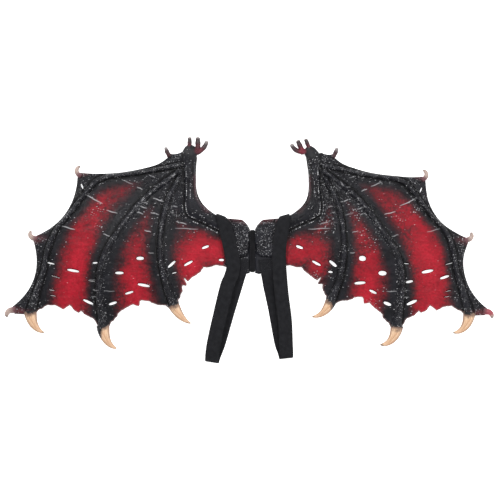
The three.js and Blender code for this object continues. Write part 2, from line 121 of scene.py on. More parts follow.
# Outline of a wing, clockwise. The stretch that ends at a row bows into the wing, or follows a torn hem.
OUTLINE = table("name out up bow hem", [
    ("root_foot", 5, -40, 0, ""),
    ("root_top", 5, 38, 0, ""),
    ("shoulder", 19, 55, -1.8, ""),
    ("strap_seat", 54, 58, 0, ""),
    ("saddle", 76, 71, 1, ""),
    ("waist", 101, 124, 8, ""),
    ("wrist_in", 99, 167, 1.2, ""),
    ("wrist_out", 127, 176, 0, ""),
    ("spur_in", 147, 173, 1.8, ""),
    ("spur_out", 151, 167, 0, ""),
    ("top_dip", 183, 150, 2.5, ""),
    ("hook_1_in", 309, 139, 5.9, ""),
    ("hook_1_out", 313, 132, 0, ""),
    ("hook_2_in", 387, 26, 20.6, ""),
    ("hook_2_out", 392, 18, 0, ""),
    ("tip_in", 430, -101, 21.8, ""),
    ("tip_out", 426, -113, 0, ""),
    ("claw_1_out", 407, -114, 0, ""),
    ("claw_1_in", 387, -111, 0, ""),
    ("claw_2_out", 277.5, -140, 0, "outer"),
    ("claw_2_in", 256.5, -136, 0, ""),
    ("claw_3_out", 147.5, -104, 0, "middle"),
    ("claw_3_in", 131.5, -97, 0, ""),
    ("root_hem", 46, -30, 0, "inner"),
    ("root_corner", 12, -42, 0, ""),
])
CORNER = {row.name: np.array((row.out, row.up), float) for row in OUTLINE}

# Torn hems between the claws: share of the way along, and height above the straight line
HEMS = {
    "outer": (
        (0.02, 5), (0.07, 10), (0.15, 19), (0.27, 21), (0.4, 17.5), (0.477, 28.5), (0.51, 27),
        (0.55, 22.5), (0.65, 19.5), (0.676, 24), (0.76, 19), (0.89, 16.5), (0.99, 5.5),
    ),
    "middle": (
        (0.05, 6.5), (0.17, 13), (0.185, 18), (0.27, 21), (0.46, 26.5), (0.53, 20.5), (0.555, 21),
        (0.58, 29), (0.61, 29.5), (0.73, 23), (0.755, 19.5), (0.82, 14), (0.95, 7),
    ),
    "inner": (
        (0.04, 7), (0.18, 14.5), (0.217, 21.5), (0.25, 22.5), (0.29, 18), (0.313, 20.5), (0.327, 30.5),
        (0.345, 31.5), (0.355, 23), (0.47, 24), (0.62, 23), (0.7, 26.5), (0.745, 21.5), (0.88, 14.5),
        (0.975, 5),
    ),
}
TEAR = SimpleNamespace(fine=0.5, fine_length=2.6, broad=0.9, broad_length=7.0, run_in=8)

# Slits cut through the web. A slit gapes more or less on each wing.
SLITS = table("out up length slope left right", [
    (305, 115, 9.5, 69, 2.2, 1.8),
    (360, -23, 13, 12, 1.8, 0.7),
    (320, -36, 21.5, 10, 3.6, 4.5),
    (280, -22, 9, -5, 2.4, 0.8),
    (352, -47, 17, 17, 0.4, 3.6),
    (359, -71, 10, 10, 0.5, 0.4),
    (357, -81, 10, 10, 0.5, 0.4),
    (287, -54.5, 13, 12, 0.4, 3.6),
    (293.5, -92, 19.5, 24, 3.6, 4.5),
    (237, -40, 14.5, 0, 4, 7),
    (200, -14, 13, 0, 5, 8),
    (194, -62, 21.5, 10.5, 4, 4.5),
    (220, -75.5, 15, -17, 3, 3.6),
    (249.5, -94.5, 14.5, -18, 3.6, 4.5),
    (144, -24.5, 17, -42, 3.6, 4.5),
    (139.5, -40, 8, -15, 1.2, 3.2),
    (114.5, -23, 17, -29, 3.4, 3.4),
    (84, 6, 13, -21, 3.4, 3.6),
    (55.5, -17, 9, 0, 3.2, 3.2),
])
SLIT = SimpleNamespace(steps=9, fullness=0.8, worn=1.15)
# The painted shadow along each slit's upper lip
LIP = SimpleNamespace(offset=0.7, width=1.1, full=0.7, gone=1.15, share=0.95)

# Bones raised on the painted face, as rows of out, up, half width and rise
BONES = {
    "arm": (
        (114, 184, 11, 8.3), (112, 126, 11, 8.5), (111, 99, 11.5, 8.5), (104.5, 78, 13.5, 9),
        (88.5, 62.5, 14.5, 9), (66, 51, 14.5, 8.5), (51, 46.5, 13.5, 8),
    ),
    "finger_1": (
        (131, 153, 4.5, 6), (200, 140, 4, 5), (262, 131.5, 4.5, 5), (279, 124, 5, 5.5),
        (301, 99, 4.5, 5.5), (326, 66.5, 4, 5), (350, 38, 4.5, 5), (366, 1, 5, 5),
        (373, -35, 5, 5), (385, -71, 6, 6), (396, -106.5, 8.5, 8),
    ),
    "finger_2": (
        (131, 142, 4.5, 6), (192, 94, 5, 6), (237, 37, 5, 5.5), (267, -17, 5, 5.5),
        (274, -75, 5.5, 6), (270, -115, 7, 7), (267, -134, 9, 8.5),
    ),
    "finger_3": (
        (131, 130, 4.5, 6), (150, 93, 5, 6), (162, 40, 5, 5.5), (164.5, 0, 5, 5.5),
        (156.5, -53, 5.5, 6), (147, -82, 6.5, 7), (140, -97, 8, 8),
    ),
}

# The crease that bounds the arm on the side of the webs, with its sharp elbow, and the groove inside it
ARM_CREASE = (
    (124, 184), (122, 126), (121.5, 92), (120.5, 75), (117, 63), (104, 55.5), (91.5, 50.4), (76, 43.2),
    (61.5, 35.8), (50, 31),
)
ARM_GROOVE = SimpleNamespace(offset=5.8, width=1.5, gone=80, full=100)

# Wrinkles in the web, each with a painted highlight on its crest, from one point to another, with their
# strength on each wing
WRINKLES = table("out up out_end up_end left right", [
    (298, 100, 267, 83, 0.9, 0.8),
    (341, 44, 316, 37, 0.9, 0.5),
    (234, 127, 213, 118, 0.45, 0.7),
    (207, 114, 196, 109, 0.8, 0.8),
    (187, 136, 173, 130, 0.6, 0.4),
    (178, 94, 158, 87, 0.9, 0.8),
    (203, 80, 188, 75, 0.8, 0.6),
    (207, 69, 194, 65, 0.8, 0.5),
    (182, 68, 166, 64, 0.8, 0.4),
    (261, 72, 240, 66, 0.8, 0.9),
    (266, 30, 253, 25, 0.7, 0.5),
    (193, 36, 180, 33, 0.9, 0.6),
    (137, 52, 117, 47, 0.9, 0.6),
    (139, 40, 96, 38, 0.5, 0.6),
    (145, 80, 133, 78, 0.7, 0.5),
    (148, 69, 140, 68, 0.7, 0.5),
    (178, 115, 169, 115, 0.4, 0.5),
    (198, 86, 188, 85, 0.7, 0.4),
    (186, -4, 175, -5, 0.5, 0.6),
    (292, -52, 279, -53, 0.4, 0.2),
    (285, -70, 276, -72, 0.7, 0.5),
    (288, -82, 277, -83, 0.4, 0.4),
    (266, -72, 245, -73, 0.35, 0.5),
])
WRINKLE = SimpleNamespace(half_width=0.6, rise=0.6, step=1.4, bend=0.3, rows=(0, -0.65, 0.65, -1.4, 1.4))

# Airbrush strokes of red on each black casting, and its traces: out, up, half width and strength
STROKES = {
    "left": {
        "outer_web": (
            (198, 123, 18, 0.24), (232, 109, 30, 0.4), (263, 90, 37, 0.57), (290, 56, 39, 0.7),
            (306, 16, 38, 0.87), (314, -18, 38, 0.96), (321, -56, 40, 1), (328, -112, 44, 1),
        ),
        "middle_web": (
            (176, 108, 18, 0.2), (187, 80, 23, 0.28), (197, 38, 30, 0.45), (206, 10, 33, 0.57),
            (208, -26, 36, 0.79), (209, -62, 40, 1), (206, -105, 43, 1),
        ),
        "inner_web": (
            (56, -4, 44, 0.88), (84, 2, 51, 0.97), (106, -2, 43, 1), (108, -34, 38, 1), (120, -66, 24, 0.6),
        ),
        "elbow": ((134, 66, 12, 0.2), (128, 48, 16, 0.3), (110, 30, 16, 0.4)),
    },
    "right": {
        "outer_web": (
            (205, 120, 19, 0.3), (232, 104, 31, 0.44), (265, 78, 46, 0.63), (300, 48, 58, 0.76),
            (312, 12, 60, 0.92), (326, -30, 53, 1), (330, -67, 48, 1), (325, -108, 47, 1),
        ),
        "middle_web": (
            (174, 90, 23, 0.28), (190, 55, 30, 0.45), (203, 24, 36, 0.57), (208, -17, 37, 0.79),
            (210, -67, 41, 1), (206, -102, 42, 1),
        ),
        "inner_web": (
            (62, -4, 40, 0.75), (92, 0, 46, 0.8), (114, -2, 40, 0.8), (116, -30, 34, 0.75),
            (124, -62, 22, 0.3),
        ),
        "elbow": ((140, 80, 15, 0.34), (134, 56, 22, 0.48), (116, 34, 20, 0.58)),
    },
}
TRACES = {
    "shoulder_edge": ((14, 54, 8, 0.6), (30, 58, 8, 0.65), (44, 59, 8, 0.55)),
    "saddle_edge": ((80, 74, 8, 0.35), (96, 104, 9, 0.55), (100, 130, 8, 0.45)),
    "hook_1_root": ((292, 139, 4, 0.2), (309, 136, 6, 0.8)),
    "hook_2_root": ((368, 22, 6, 0.15), (388, 21, 10, 1)),
    "tip_edge": ((392, -111, 5, 0.5), (410, -110, 6, 0.9), (428, -107, 9, 1)),
    "palm_edge": ((100, 168, 4, 0.4), (103, 174, 5, 0.5)),
}
STROKE_EDGE = SimpleNamespace(
    full=-0.1, gone=1.42, wander=6.0, wander_length=19.0, clear=-3.0, margin=24.0,
    root_gone=44, root_full=56, line_points=8,
)

# Patches of web flecked pale, partly with silver paint and partly with painted glints, with their share on
# each wing
FLECKED = table("out up reach left right", [
    (124, 148, 38, 0.2, 0.95),
    (134, 100, 36, 0.2, 0.9),
    (332, 92, 24, 1, 0.6),
    (303, 80, 20, 0, 0.7),
    (132, 44, 28, 0.25, 0.9),
    (189, 70, 24, 0.4, 0.85),
    (212, 22, 28, 0.15, 0.8),
    (114, -47, 16, 0.3, 1),
    (221, -95, 18, 0.25, 1),
    (234, -66, 15, 0.1, 0.75),
    (294, 106, 24, 0.6, 0.8),
    (277, 66, 34, 0.3, 0.5),
    (274, 38, 18, 0.35, 0.2),
])

# Horns on the edge, each on the root edge between two corners of the outline
HORN_COLUMNS = "name start end length lean turn width depth rise tip_rise sleeve swell blush"
SHARED_HOOKS = [
    ("spur", "spur_in", "spur_out", 17, -20, -30, 8.4, 7, 4, 7, 0, 0, 0),
    ("hook_1", "hook_1_in", "hook_1_out", 20, -10, -138, 8, 8, 4.4, 6, 0, 0.12, 0),
    ("hook_2", "hook_2_in", "hook_2_out", 19, 30, -142, 9.2, 8, 4.4, 6, 0, 0.1, 0),
]
HOOKS = {
    "left": table(HORN_COLUMNS, SHARED_HOOKS + [
        ("hook_3", "tip_in", "tip_out", 21, -30, 132, 11, 9, 4.6, 5, 0, 0.02, 0),
    ]),
    "right": table(HORN_COLUMNS, SHARED_HOOKS + [
        ("hook_3", "tip_in", "tip_out", 19, -30, 132, 11, 9, 4.6, 5, 0, 0, 0.85),
    ]),
}
CLAWS = {
    "left": table(HORN_COLUMNS, [
        ("claw_1", "claw_1_out", "claw_1_in", 45, 0, 68, 22.4, 14, 7, 5, -0.04, 0, 0),
        ("claw_2", "claw_2_out", "claw_2_in", 47.5, -4, 66, 22.8, 14, 6.8, 5, 0.38, 0, 0),
        ("claw_3", "claw_3_out", "claw_3_in", 43, 5, 40, 19.8, 13, 6, 2.5, -0.03, 0, 0),
    ]),
    "right": table(HORN_COLUMNS, [
        ("claw_1", "claw_1_out", "claw_1_in", 48, 0, 84, 21.8, 14, 7, 5, -0.12, 0, 0),
        ("claw_2", "claw_2_out", "claw_2_in", 46.5, 2, 82, 22, 14, 6.8, 5, -0.07, 0, 0),
        ("claw_3", "claw_3_out", "claw_3_in", 44, 2, 68, 19.8, 13, 6, 2.5, 0.24, 0, 0),
    ]),
}
LEAN_SHARE = 0.16
TUCK_STEPS = 4
SUNK_SHARE = 0.3
ROOT_SHARE = -0.1
FLUTE = SimpleNamespace(count=9, wave=1.7, waves=2, claw_depth=0.02)
HORN_BLUSH = SimpleNamespace(start_range=(-0.3, 0.3), end_range=(0.9, 0.5))
SPUR_FORM = {"end_share": 0.74, "taper": 1.5, "rounding": 0.2, "knuckles": 0.08, "curl": 1, "sunk": 0}
HOOK_FORM = {"end_share": 0.5, "taper": 1.5, "rounding": 0.24, "knuckles": 0, "curl": 1.15, "sunk": 0}
CLAW_FORM = {"end_share": 0.12, "taper": 1.3, "rounding": 0.06, "knuckles": 0, "curl": 1.5, "sunk": 0}
HAND_COLUMNS = "out up heading turn length width"
HANDS = {
    "left": table(HAND_COLUMNS, [
        (113, 171.5, 108, 0, 18, 28),
        (112.5, 183, 91, 0, 20.5, 6),
        (97.5, 181, 90, 0, 22.5, 7.2),
        (97, 176, 155, 55, 27, 6.5),
    ]),
    "right": table(HAND_COLUMNS, [
        (111.5, 168.5, 112, -48, 21, 26),
        (104.7, 183.4, 112, 0, 19.5, 6),
        (91.7, 180, 115, 0, 20.5, 7),
        (93, 177.3, 184, 80, 28, 6.5),
    ]),
}
PALM = {
    "depth": 12.6, "lean": 0, "rise": 6.6, "tip_rise": 6.6, "swell": 0, "end_share": 0.7, "taper": 1.2,
    "rounding": 0.4, "curl": 1, "sunk": 0.8, "knuckles": 0,
}
DIGIT = {
    "lean": 0, "rise": 6.8, "tip_rise": 8.4, "swell": 0, "end_share": 0.88, "taper": 1.2,
    "rounding": 0.15, "curl": 1, "sunk": 0, "knuckles": 0.06,
}
DIGIT_SWELL = 1.36
BLUSH = SimpleNamespace(full=3, gone=9)
HAND = SimpleNamespace(voxel=0.5, smoothing=9)

# How far the right wing's foam lies from the left one's mirror image: out, up, and the move in each
FLEX_SPREAD = 30
FLEX = np.array((
    (20, 0, 0, 0), (85, 77, 4, 0), (101, 122, 0, 0), (99, 167, -3, -1), (150, 168, -4, -1),
    (230, 140, -1, -4), (311, 135, -3, -7), (325, 80, -5, -6), (390, 22, -5, -3), (386, -20, -9, 0),
    (430, -101, -10, -3), (397, -112, -9, -2), (267, -139, -9, -1), (140, -100, 0, 8),
    (100, -35, 0, 0), (250, 30, -6, -1),
), float)

# Straps, from the tail behind the shoulder, over its top, down to a fold and back to the sewn end:
# rows of out, up, rise of the webbing's middle, and yaw
STRAPS = {
    "left": (
        (50, 28, 1.3, -5), (51, 48, 1.3, 2), (54, 58, 1.5, 12), (55.6, 62.2, 4, 20),
        (56, 63, 8.5, 20), (55.4, 61.2, 13.4, 17), (53, 55, 15.8, 8), (49.3, 46, 15.9, -3),
        (44.5, 26, 14.6, -10), (38, -3, 12.2, -10), (34, -26, 11.6, -4), (37.5, -44, 11.4, 6),
        (43.5, -58, 11.5, 13), (57.5, -114, 12.2, 14), (69.5, -169, 11.5, 11), (72, -189, 10.4, 9),
        (72.3, -197.5, 8.6, 9), (72.3, -200, 5.7, 9), (71.8, -197.5, 2.9, 10), (69.5, -190, 1.6, 13),
        (61.5, -169, 1.2, 16), (45.5, -114, 1.2, 16), (29.5, -61, 1.5, 16), (26, -49, 4.2, 16),
        (23.5, -41, 7, 16), (18.5, -22, 7, 10), (18, -15.5, 7, 4),
    ),
    "right": (
        (57, 30, 1.3, 4), (57, 48, 1.3, 8), (57, 58, 1.5, 14), (57, 62, 4, 16),
        (57, 63, 8.5, 16), (57, 61.2, 13.6, 15), (56.3, 55, 16, 8), (54.3, 45, 16.1, -2),
        (50.5, 27, 15, -8), (47.6, 0, 12.3, -6), (48.3, -28, 11.5, 0), (52.5, -80, 11.8, 5),
        (58, -124, 12.2, 4), (60, -169, 11.5, 4), (60.6, -182, 10.4, 5), (60.6, -190.5, 8.6, 6),
        (60.3, -193, 5.7, 6), (59.8, -190.5, 2.9, 7), (58, -183, 1.6, 11), (53, -169, 1.2, 13),
        (40, -101, 1.2, 12), (31.5, -62, 1.5, 12), (29.5, -50, 4.2, 12), (28, -42, 7, 12),
        (25, -23, 7, 7), (24.5, -16, 7, 3),
    ),
}
STRAP = SimpleNamespace(
    width=25, thickness=1.5, step=2.0, columns=29, ribs=9, rib_rise=0.07, edge_round=0.45, edge_power=8,
    gather=0.3, gather_reach=11,
)
STRIP = SimpleNamespace(
    width=10.9, bottom=-39, top=37, height=6, steps=60, sides=28, end_share=0.55, end_rate=12, waist=0.05,
    side_power=0.35, face_power=0.45, fold=0.5, fold_width=0.7,
)
SEWN = SimpleNamespace(half=9.5, near=3, far=19, rise=0.72, points=12)
SEAM = SimpleNamespace(aside=3.3, rise=5.75, margin=4, points=40)

# Stitches, scales and beads. Rows of beads follow the arm's crease, offset from it, between two heights.
STITCH = {
    "Spacing": 3.2 * MM, "Length": 2.7 * MM, "Width": 0.8 * MM, "Height": 0.7 * MM, "Smallest": 0.8,
    "Seed": 2,
}
SCALE = {"Spacing": 1.75 * MM, "Size": 1.1 * MM, "Flatness": 0.6}
BEAD = {"Spacing": 3.7 * MM, "Length": 3.5 * MM, "Width": 2.1 * MM, "Height": 2.2 * MM, "Smallest": 0.45}
BEAD_LINE = SimpleNamespace(root=58, step=1.5, edge_gap=99.0)
BEAD_ROWS = table("offset low high", [
    (-2.2, 0, 86),
    (4.2, 0, 86),
    (-4, 86, 150),
    (-11, 94, 146),
])


# Small numeric helpers
def lattice(column, row, seed):
    """A repeatable random value from 0 to 1 at each corner of a unit grid"""
    mixed = (column * 374761393 + row * 668265263 + seed * 974634721) & 0xFFFFFFFF
    mixed = ((mixed ^ (mixed >> 13)) * 1274126177) & 0xFFFFFFFF
    return ((mixed ^ (mixed >> 16)) & 0xFFFF) / 65535.0


def noise(across, along, seed):
    """Smooth noise from 0 to 1 over a unit grid"""
    column = np.floor(across).astype(np.int64)
    row = np.floor(along).astype(np.int64)
    u = across - column
    v = along - row
    u = u * u * (3 - 2 * u)
    v = v * v * (3 - 2 * v)
    low = lattice(column, row, seed) * (1 - u) + lattice(column + 1, row, seed) * u
    high = lattice(column, row + 1, seed) * (1 - u) + lattice(column + 1, row + 1, seed) * u
    return low * (1 - v) + high * v


def smoothstep(start, end, value):
    """From 0 at the start to 1 at the end, with soft ends"""
    share = np.clip((value - start) / (end - start), 0, 1)
    return share * share * (3 - 2 * share)


def direction(degrees):
    return np.array((math.cos(math.radians(degrees)), math.sin(math.radians(degrees))))


def spline(rows, place_columns, per_row=24):
    """Dense points on a centripetal Catmull-Rom curve through rows. Distances use the first columns."""
    points = np.asarray(rows, float)
    ends = np.vstack([2 * points[0] - points[1], points, 2 * points[-1] - points[-2]])
    line = []
    for i in range(len(points) - 1):
        p0, p1, p2, p3 = ends[i:i + 4]
        d0, d1, d2 = (
            max(np.linalg.norm((b - a)[:place_columns]), 1e-6) ** 0.5
            for a, b in ((p0, p1), (p1, p2), (p2, p3))
        )
        leave = ((p1 - p0) / d0 - (p2 - p0) / (d0 + d1) + (p2 - p1) / d1) * d1
        reach = ((p2 - p1) / d1 - (p3 - p1) / (d1 + d2) + (p3 - p2) / d2) * d1
        for t in np.linspace(0, 1, per_row, endpoint=False):
            line.append(
                (2 * t**3 - 3 * t**2 + 1) * p1 + (t**3 - 2 * t**2 + t) * leave
                + (3 * t**2 - 2 * t**3) * p2 + (t**3 - t**2) * reach
            )
    line.append(points[-1])
    return np.array(line)


def resample(line, step, place_columns=2):
    """Points a step apart along a line, with their distance along it as a last column"""
    runs = np.linalg.norm(np.diff(line[:, :place_columns], axis=0), axis=1)
    along = np.concatenate([[0], np.cumsum(runs)])
    marks = np.linspace(0, along[-1], max(2, int(round(along[-1] / step)) + 1))
    columns = [np.interp(marks, along, line[:, i]) for i in range(line.shape[1])]
    return np.column_stack(columns + [marks])


def nearest_on_line(points, line):
    """For each point: distance to a line, the side it lies on, and the line's other columns there"""
    gap = np.full(len(points), np.inf)
    hand = np.ones(len(points))
    facts = np.zeros((len(points), line.shape[1] - 2))
    for a, b in zip(line[:-1], line[1:]):
        run = b[:2] - a[:2]
        offset = points - a[:2]
        share = np.clip(offset @ run / (run @ run), 0, 1)
        apart = np.hypot(offset[:, 0] - share * run[0], offset[:, 1] - share * run[1])
        closer = apart < gap
        gap[closer] = apart[closer]
        hand[closer] = np.sign(run[0] * offset[closer, 1] - run[1] * offset[closer, 0])
        facts[closer] = a[2:] + share[closer, None] * (b[2:] - a[2:])
    return gap, hand, facts


def inside(points, loop):
    """Which points lie inside a closed loop"""
    odd = np.zeros(len(points), bool)
    for a, b in zip(loop, np.roll(loop, -1, axis=0)):
        if a[1] == b[1]:
            continue
        spans = (a[1] > points[:, 1]) != (b[1] > points[:, 1])
        crossing = a[0] + (points[:, 1] - a[1]) * (b[0] - a[0]) / (b[1] - a[1])
        odd ^= spans & (points[:, 0] < crossing)
    return odd


def thinned(points, taken, closest):
    """The points that keep a distance from the taken ones and from each other"""
    cells = {}
    kept = []
    for at, is_new in [(p, False) for p in taken] + [(p, True) for p in points]:
        column, row = int(at[0] // closest), int(at[1] // closest)
        near = (
            other
            for i in (-1, 0, 1)
            for j in (-1, 0, 1)
            for other in cells.get((column + i, row + j), ())
        )
        if is_new and any((at[0] - o[0]) ** 2 + (at[1] - o[1]) ** 2 < closest**2 for o in near):
            continue
        cells.setdefault((column, row), []).append(at)
        if is_new:
            kept.append(at)
    return np.array(kept)


# The wing's layout
BONE_LINES = {name: resample(spline(rows, 2), BONE.line_step) for name, rows in BONES.items()}
ARM_EDGE_LINE = resample(spline(ARM_CREASE, 2), ARM.edge_line_step)
STROKE_LINES = {
    side: [spline(rows, 2, STROKE_EDGE.line_points) for rows in strokes.values()]
    for side, strokes in STROKES.items()
}
TRACE_LINES = [spline(rows, 2, STROKE_EDGE.line_points) for rows in TRACES.values()]


def lay_on_wing(side, points):
    """Flat place on one wing of points of the layout"""
    moved = np.array(points, float)
    if side.flexed:
        gaps = ((moved[:, None, :] - FLEX[None, :, :2]) ** 2).sum(axis=2)
        weights = (gaps + FLEX_SPREAD**2) ** -2.0
        moved += (weights @ FLEX[:, 2:]) / weights.sum(axis=1, keepdims=True)
    moved[:, 0] *= side.sign
    return moved


def back_height(points, bone_gaps=None):
    """Height of the web's back: a low dome that billows down between the bones"""
    if bone_gaps is None:
        bone_gaps = [nearest_on_line(points, line)[0] for line in BONE_LINES.values()]
    span = np.clip((points[:, 0] - DOME.root_out) / (DOME.tip_out - DOME.root_out), 0, 1)
    drop = np.minimum(1, np.abs(points[:, 1]) / DOME.reach)
    dome = DOME.height * np.sin(np.pi * span) ** 2 * np.cos(np.pi / 2 * drop) ** 2
    slack = np.ones(len(points))
    for gap in bone_gaps:
        slack *= 1 - np.exp(-((gap / DOME.ridge) ** 2))
    return SHEET.lift + dome * (1 - DOME.billow * slack)


def outline_loop(seed):
    """Points round a wing's edge, with a mark on those of the torn hems"""
    points = []
    torn = []
    for before, row in zip(OUTLINE[-1:] + OUTLINE[:-1], OUTLINE):
        start = CORNER[before.name]
        run = CORNER[row.name] - start
        length = np.linalg.norm(run)
        inward = np.array((run[1], -run[0])) / length
        if row.hem:
            stops = [start] + [start + run * share + inward * rise for share, rise in HEMS[row.hem]]
            stops.append(CORNER[row.name])
            stretch = resample(np.array(stops), SKIN.edge_step)
            along = stretch[:, 2]
            inner = smoothstep(0, TEAR.run_in, along) * smoothstep(0, TEAR.run_in, along[-1] - along)
            ragged = TEAR.fine * (noise(along / TEAR.fine_length, along * 0, seed) - 0.5)
            ragged += TEAR.broad * (noise(along / TEAR.broad_length, along * 0, seed + 1) - 0.5)
            stretch = stretch[:, :2] + (2 * ragged * inner)[:, None] * inward
        else:
            share = np.linspace(0, 1, max(2, int(round(length / SKIN.edge_step)) + 1))[:, None]
            stretch = start + run * share + inward * (4 * row.bow * share * (1 - share))
        points.append(stretch[1:])
        torn.append(np.full(len(stretch) - 1, bool(row.hem)))
    return np.vstack(points), np.concatenate(torn)


def slit_loop(row, gape):
    """Points round one slit"""
    along = direction(row.slope)
    across = np.array((-along[1], along[0]))
    turns = np.pi * np.arange(2 * SLIT.steps) / SLIT.steps
    lips = np.sign(np.sin(turns)) * np.abs(np.sin(turns)) ** SLIT.fullness * gape * SLIT.worn / 2
    middle = np.array((row.out, row.up))
    return middle + np.outer(np.cos(turns) * row.length / 2, along) + np.outer(lips, across)


def signed_area(loop):
    after = np.roll(loop, -1, axis=0)
    return 0.5 * np.sum(loop[:, 0] * after[:, 1] - loop[:, 1] * after[:, 0])


def hex_points(low, high, step, seed):
    """A jittered field of points, staggered by rows"""
    rows = np.arange(low[1], high[1], step * math.sqrt(3) / 2)
    field = []
    for i, up in enumerate(rows):
        out = np.arange(low[0] + (i % 2) * step / 2, high[0], step)
        field.append(np.column_stack([out, np.full(len(out), up)]))
    field = np.vstack(field)
    shake = np.random.default_rng(seed).uniform(-SKIN.jitter, SKIN.jitter, field.shape)
    return field + shake * step


def bone_points(line):
    """Rows of points along a bone, denser at its edges"""
    stations = resample(line[:, :4], SKIN.bone_step)
    ahead = np.gradient(stations[:, :2], axis=0)
    ahead /= np.linalg.norm(ahead, axis=1, keepdims=True)
    across = np.column_stack([-ahead[:, 1], ahead[:, 0]])
    rows = [stations[:, :2]]
    for share in BONE.rows:
        for hand in (-1, 1):
            rows.append(stations[:, :2] + across * (hand * share * stations[:, 2:3]))
    return np.vstack(rows)


def wrinkle_points():
    """Rows of points along each wrinkle, so that its ridge stays crisp"""
    rows = []
    for row in WRINKLES:
        start = np.array((row.out, row.up), float)
        run = np.array((row.out_end, row.up_end)) - start
        length = np.linalg.norm(run)
        across = np.array((-run[1], run[0])) / length
        share = np.linspace(0, 1, int(length / WRINKLE.step) + 2)[:, None]
        for offset in WRINKLE.rows:
            rows.append(start + run * share + across * offset)
    return np.vstack(rows)


def triangulate(loops, fill):
    """Triangles between closed loops and loose points. The loops come first in the numbering."""
    edge_points = np.vstack(loops)
    points = np.vstack([edge_points, fill])
    edges = []
    first = 0
    for loop in loops:
        count = len(loop)
        edges += [(first + i, first + (i + 1) % count) for i in range(count)]
        first += count
    found = delaunay_2d_cdt([Vector(p) for p in points], edges, [], 1, SKIN.weld, True)
    origin = np.array([ids[0] for ids in found[3]])
    faces = origin[np.array(found[2])]
    places = points[faces]
    turn = np.cross(places[:, 1] - places[:, 0], places[:, 2] - places[:, 0])
    faces[turn < 0] = faces[turn < 0][:, ::-1]
    keep = np.abs(turn) > SKIN.sliver
    centres = places.mean(axis=1)
    on_rim = np.all(faces < len(loops[0]), axis=1)
    keep[on_rim] &= inside(centres[on_rim], loops[0])
    for hole in loops[1:]:
        low, high = hole.min(axis=0), hole.max(axis=0)
        near = np.all((centres > low) & (centres < high), axis=1)
        keep[near] &= ~inside(centres[near], hole)
    return points, faces[keep]


def bone_fields(side, points, nearest):
    """What the bones give to points: relief, cover, creases, the dark paint beside them (inked lines and
    painted shade), the silver on their crests (dry brush and painted highlight), and the gap beside them
    """
    given = SimpleNamespace(beside=np.full(len(points), np.inf))
    given.relief, given.cover, given.crease, given.ink, given.crest = np.zeros((5, len(points)))
    for i, (name, (gap, hand, facts)) in enumerate(nearest.items()):
        half, rise, along = facts.T
        outer = hand > 0
        lumps = noise(along / BONE.lump_length, gap / BONE.lump_width, side.seed + len(name))
        lumps = BONE.lump_low + BONE.lump_gain * lumps
        across = np.clip(gap / half, 0, 1)
        bar = BONE.share * rise * lumps * (1 - across**2) ** BONE.profile
        given.relief = np.maximum(given.relief, bar)
        given.cover = np.maximum(given.cover, smoothstep(*BONE.edge_range, gap / half))
        width = CREASE.width * np.where((name == "arm") & outer, CREASE.arm_share, 1)
        depth = np.where(outer, 1, INNER_CREASE[name])
        crease = depth * np.exp(-(((gap - half - CREASE.offset) / width) ** 2))
        given.crease = np.maximum(given.crease, crease)
        spread = np.where(outer, OUTER_INK_SHADE[name], 1)
        ink = depth * np.exp(-((((gap - half) / spread - INKED_SHADE.offset) / INKED_SHADE.width) ** 2))
        given.ink = np.maximum(given.ink, ink)
        given.beside = np.minimum(given.beside, gap - half)
        brushed_and_lit = noise(along / CREST.length, along * 0, side.seed + SEED.crest + i)
        brushed_and_lit = smoothstep(CREST.bare, CREST.brushed_and_lit, brushed_and_lit)
        brushed_and_lit *= CREST.far_share + (1 - CREST.far_share) * smoothstep(CREST.far, CREST.near, along)
        crest = CREST_SHARE[name] * brushed_and_lit * np.exp(-((gap / CREST.width) ** 2))
        given.crest = np.maximum(given.crest, crest)
    return given


def wing_relief(points, bones, plate):
    """Rise of the bones, the wrist and the root plate"""
    swell_gap = np.hypot(points[:, 0] - WRIST_SWELL.out, points[:, 1] - WRIST_SWELL.up)
    swell = WRIST_SWELL.rise * smoothstep(WRIST_SWELL.gone, WRIST_SWELL.full, swell_gap)
    relief = (bones.relief**4 + swell**4) ** 0.25
    return np.maximum(relief * (1 - PLATE.bone_sunk * plate), PLATE.rise * plate)


def wing_creases(at, bones, arm_across, strands):
    """Depth of the creases, from 0 to 1: beside the bones, round the plate, and along the arm. The same
    share paints shade into them.
    """
    up = at.points[:, 1]
    crease = bones.crease * (1 - WRIST_CREASE.share * smoothstep(WRIST_CREASE.full, WRIST_CREASE.gone, up))
    crease = np.maximum(crease * (1 - at.plate), plate_crease(at.points))
    off_bone = 1 - CREASE.on_bone
    crease *= smoothstep(*CREASE.bone_range, bones.cover) * off_bone + CREASE.on_bone
    groove = np.exp(-(((arm_across + ARM_GROOVE.offset) / ARM_GROOVE.width) ** 2))
    groove *= smoothstep(ARM_GROOVE.gone, ARM_GROOVE.full, up)
    split = ARM.split_share * at.arm * (1 - at.plate) * smoothstep(*ARM.split_range, strands)
    return np.maximum(np.maximum(crease, groove), split)


def web_ripples(side, at):
    """Rise of the web's soft lumps and ripples, which fade towards the bones and the root"""
    out, up = at.points.T
    slack = smoothstep(*RIPPLE.bone_range, at.beside) * (1 - at.plate)
    slack *= smoothstep(*RIPPLE.root_range, out)
    lumps = noise(out / RIPPLE.lump, up / RIPPLE.lump, side.seed + SEED.lumps) - 0.5
    ripples = noise(out / RIPPLE.length, up / RIPPLE.width, side.seed + SEED.ripples) - 0.5
    return slack * (RIPPLE.lump_rise * lumps + RIPPLE.rise * ripples)


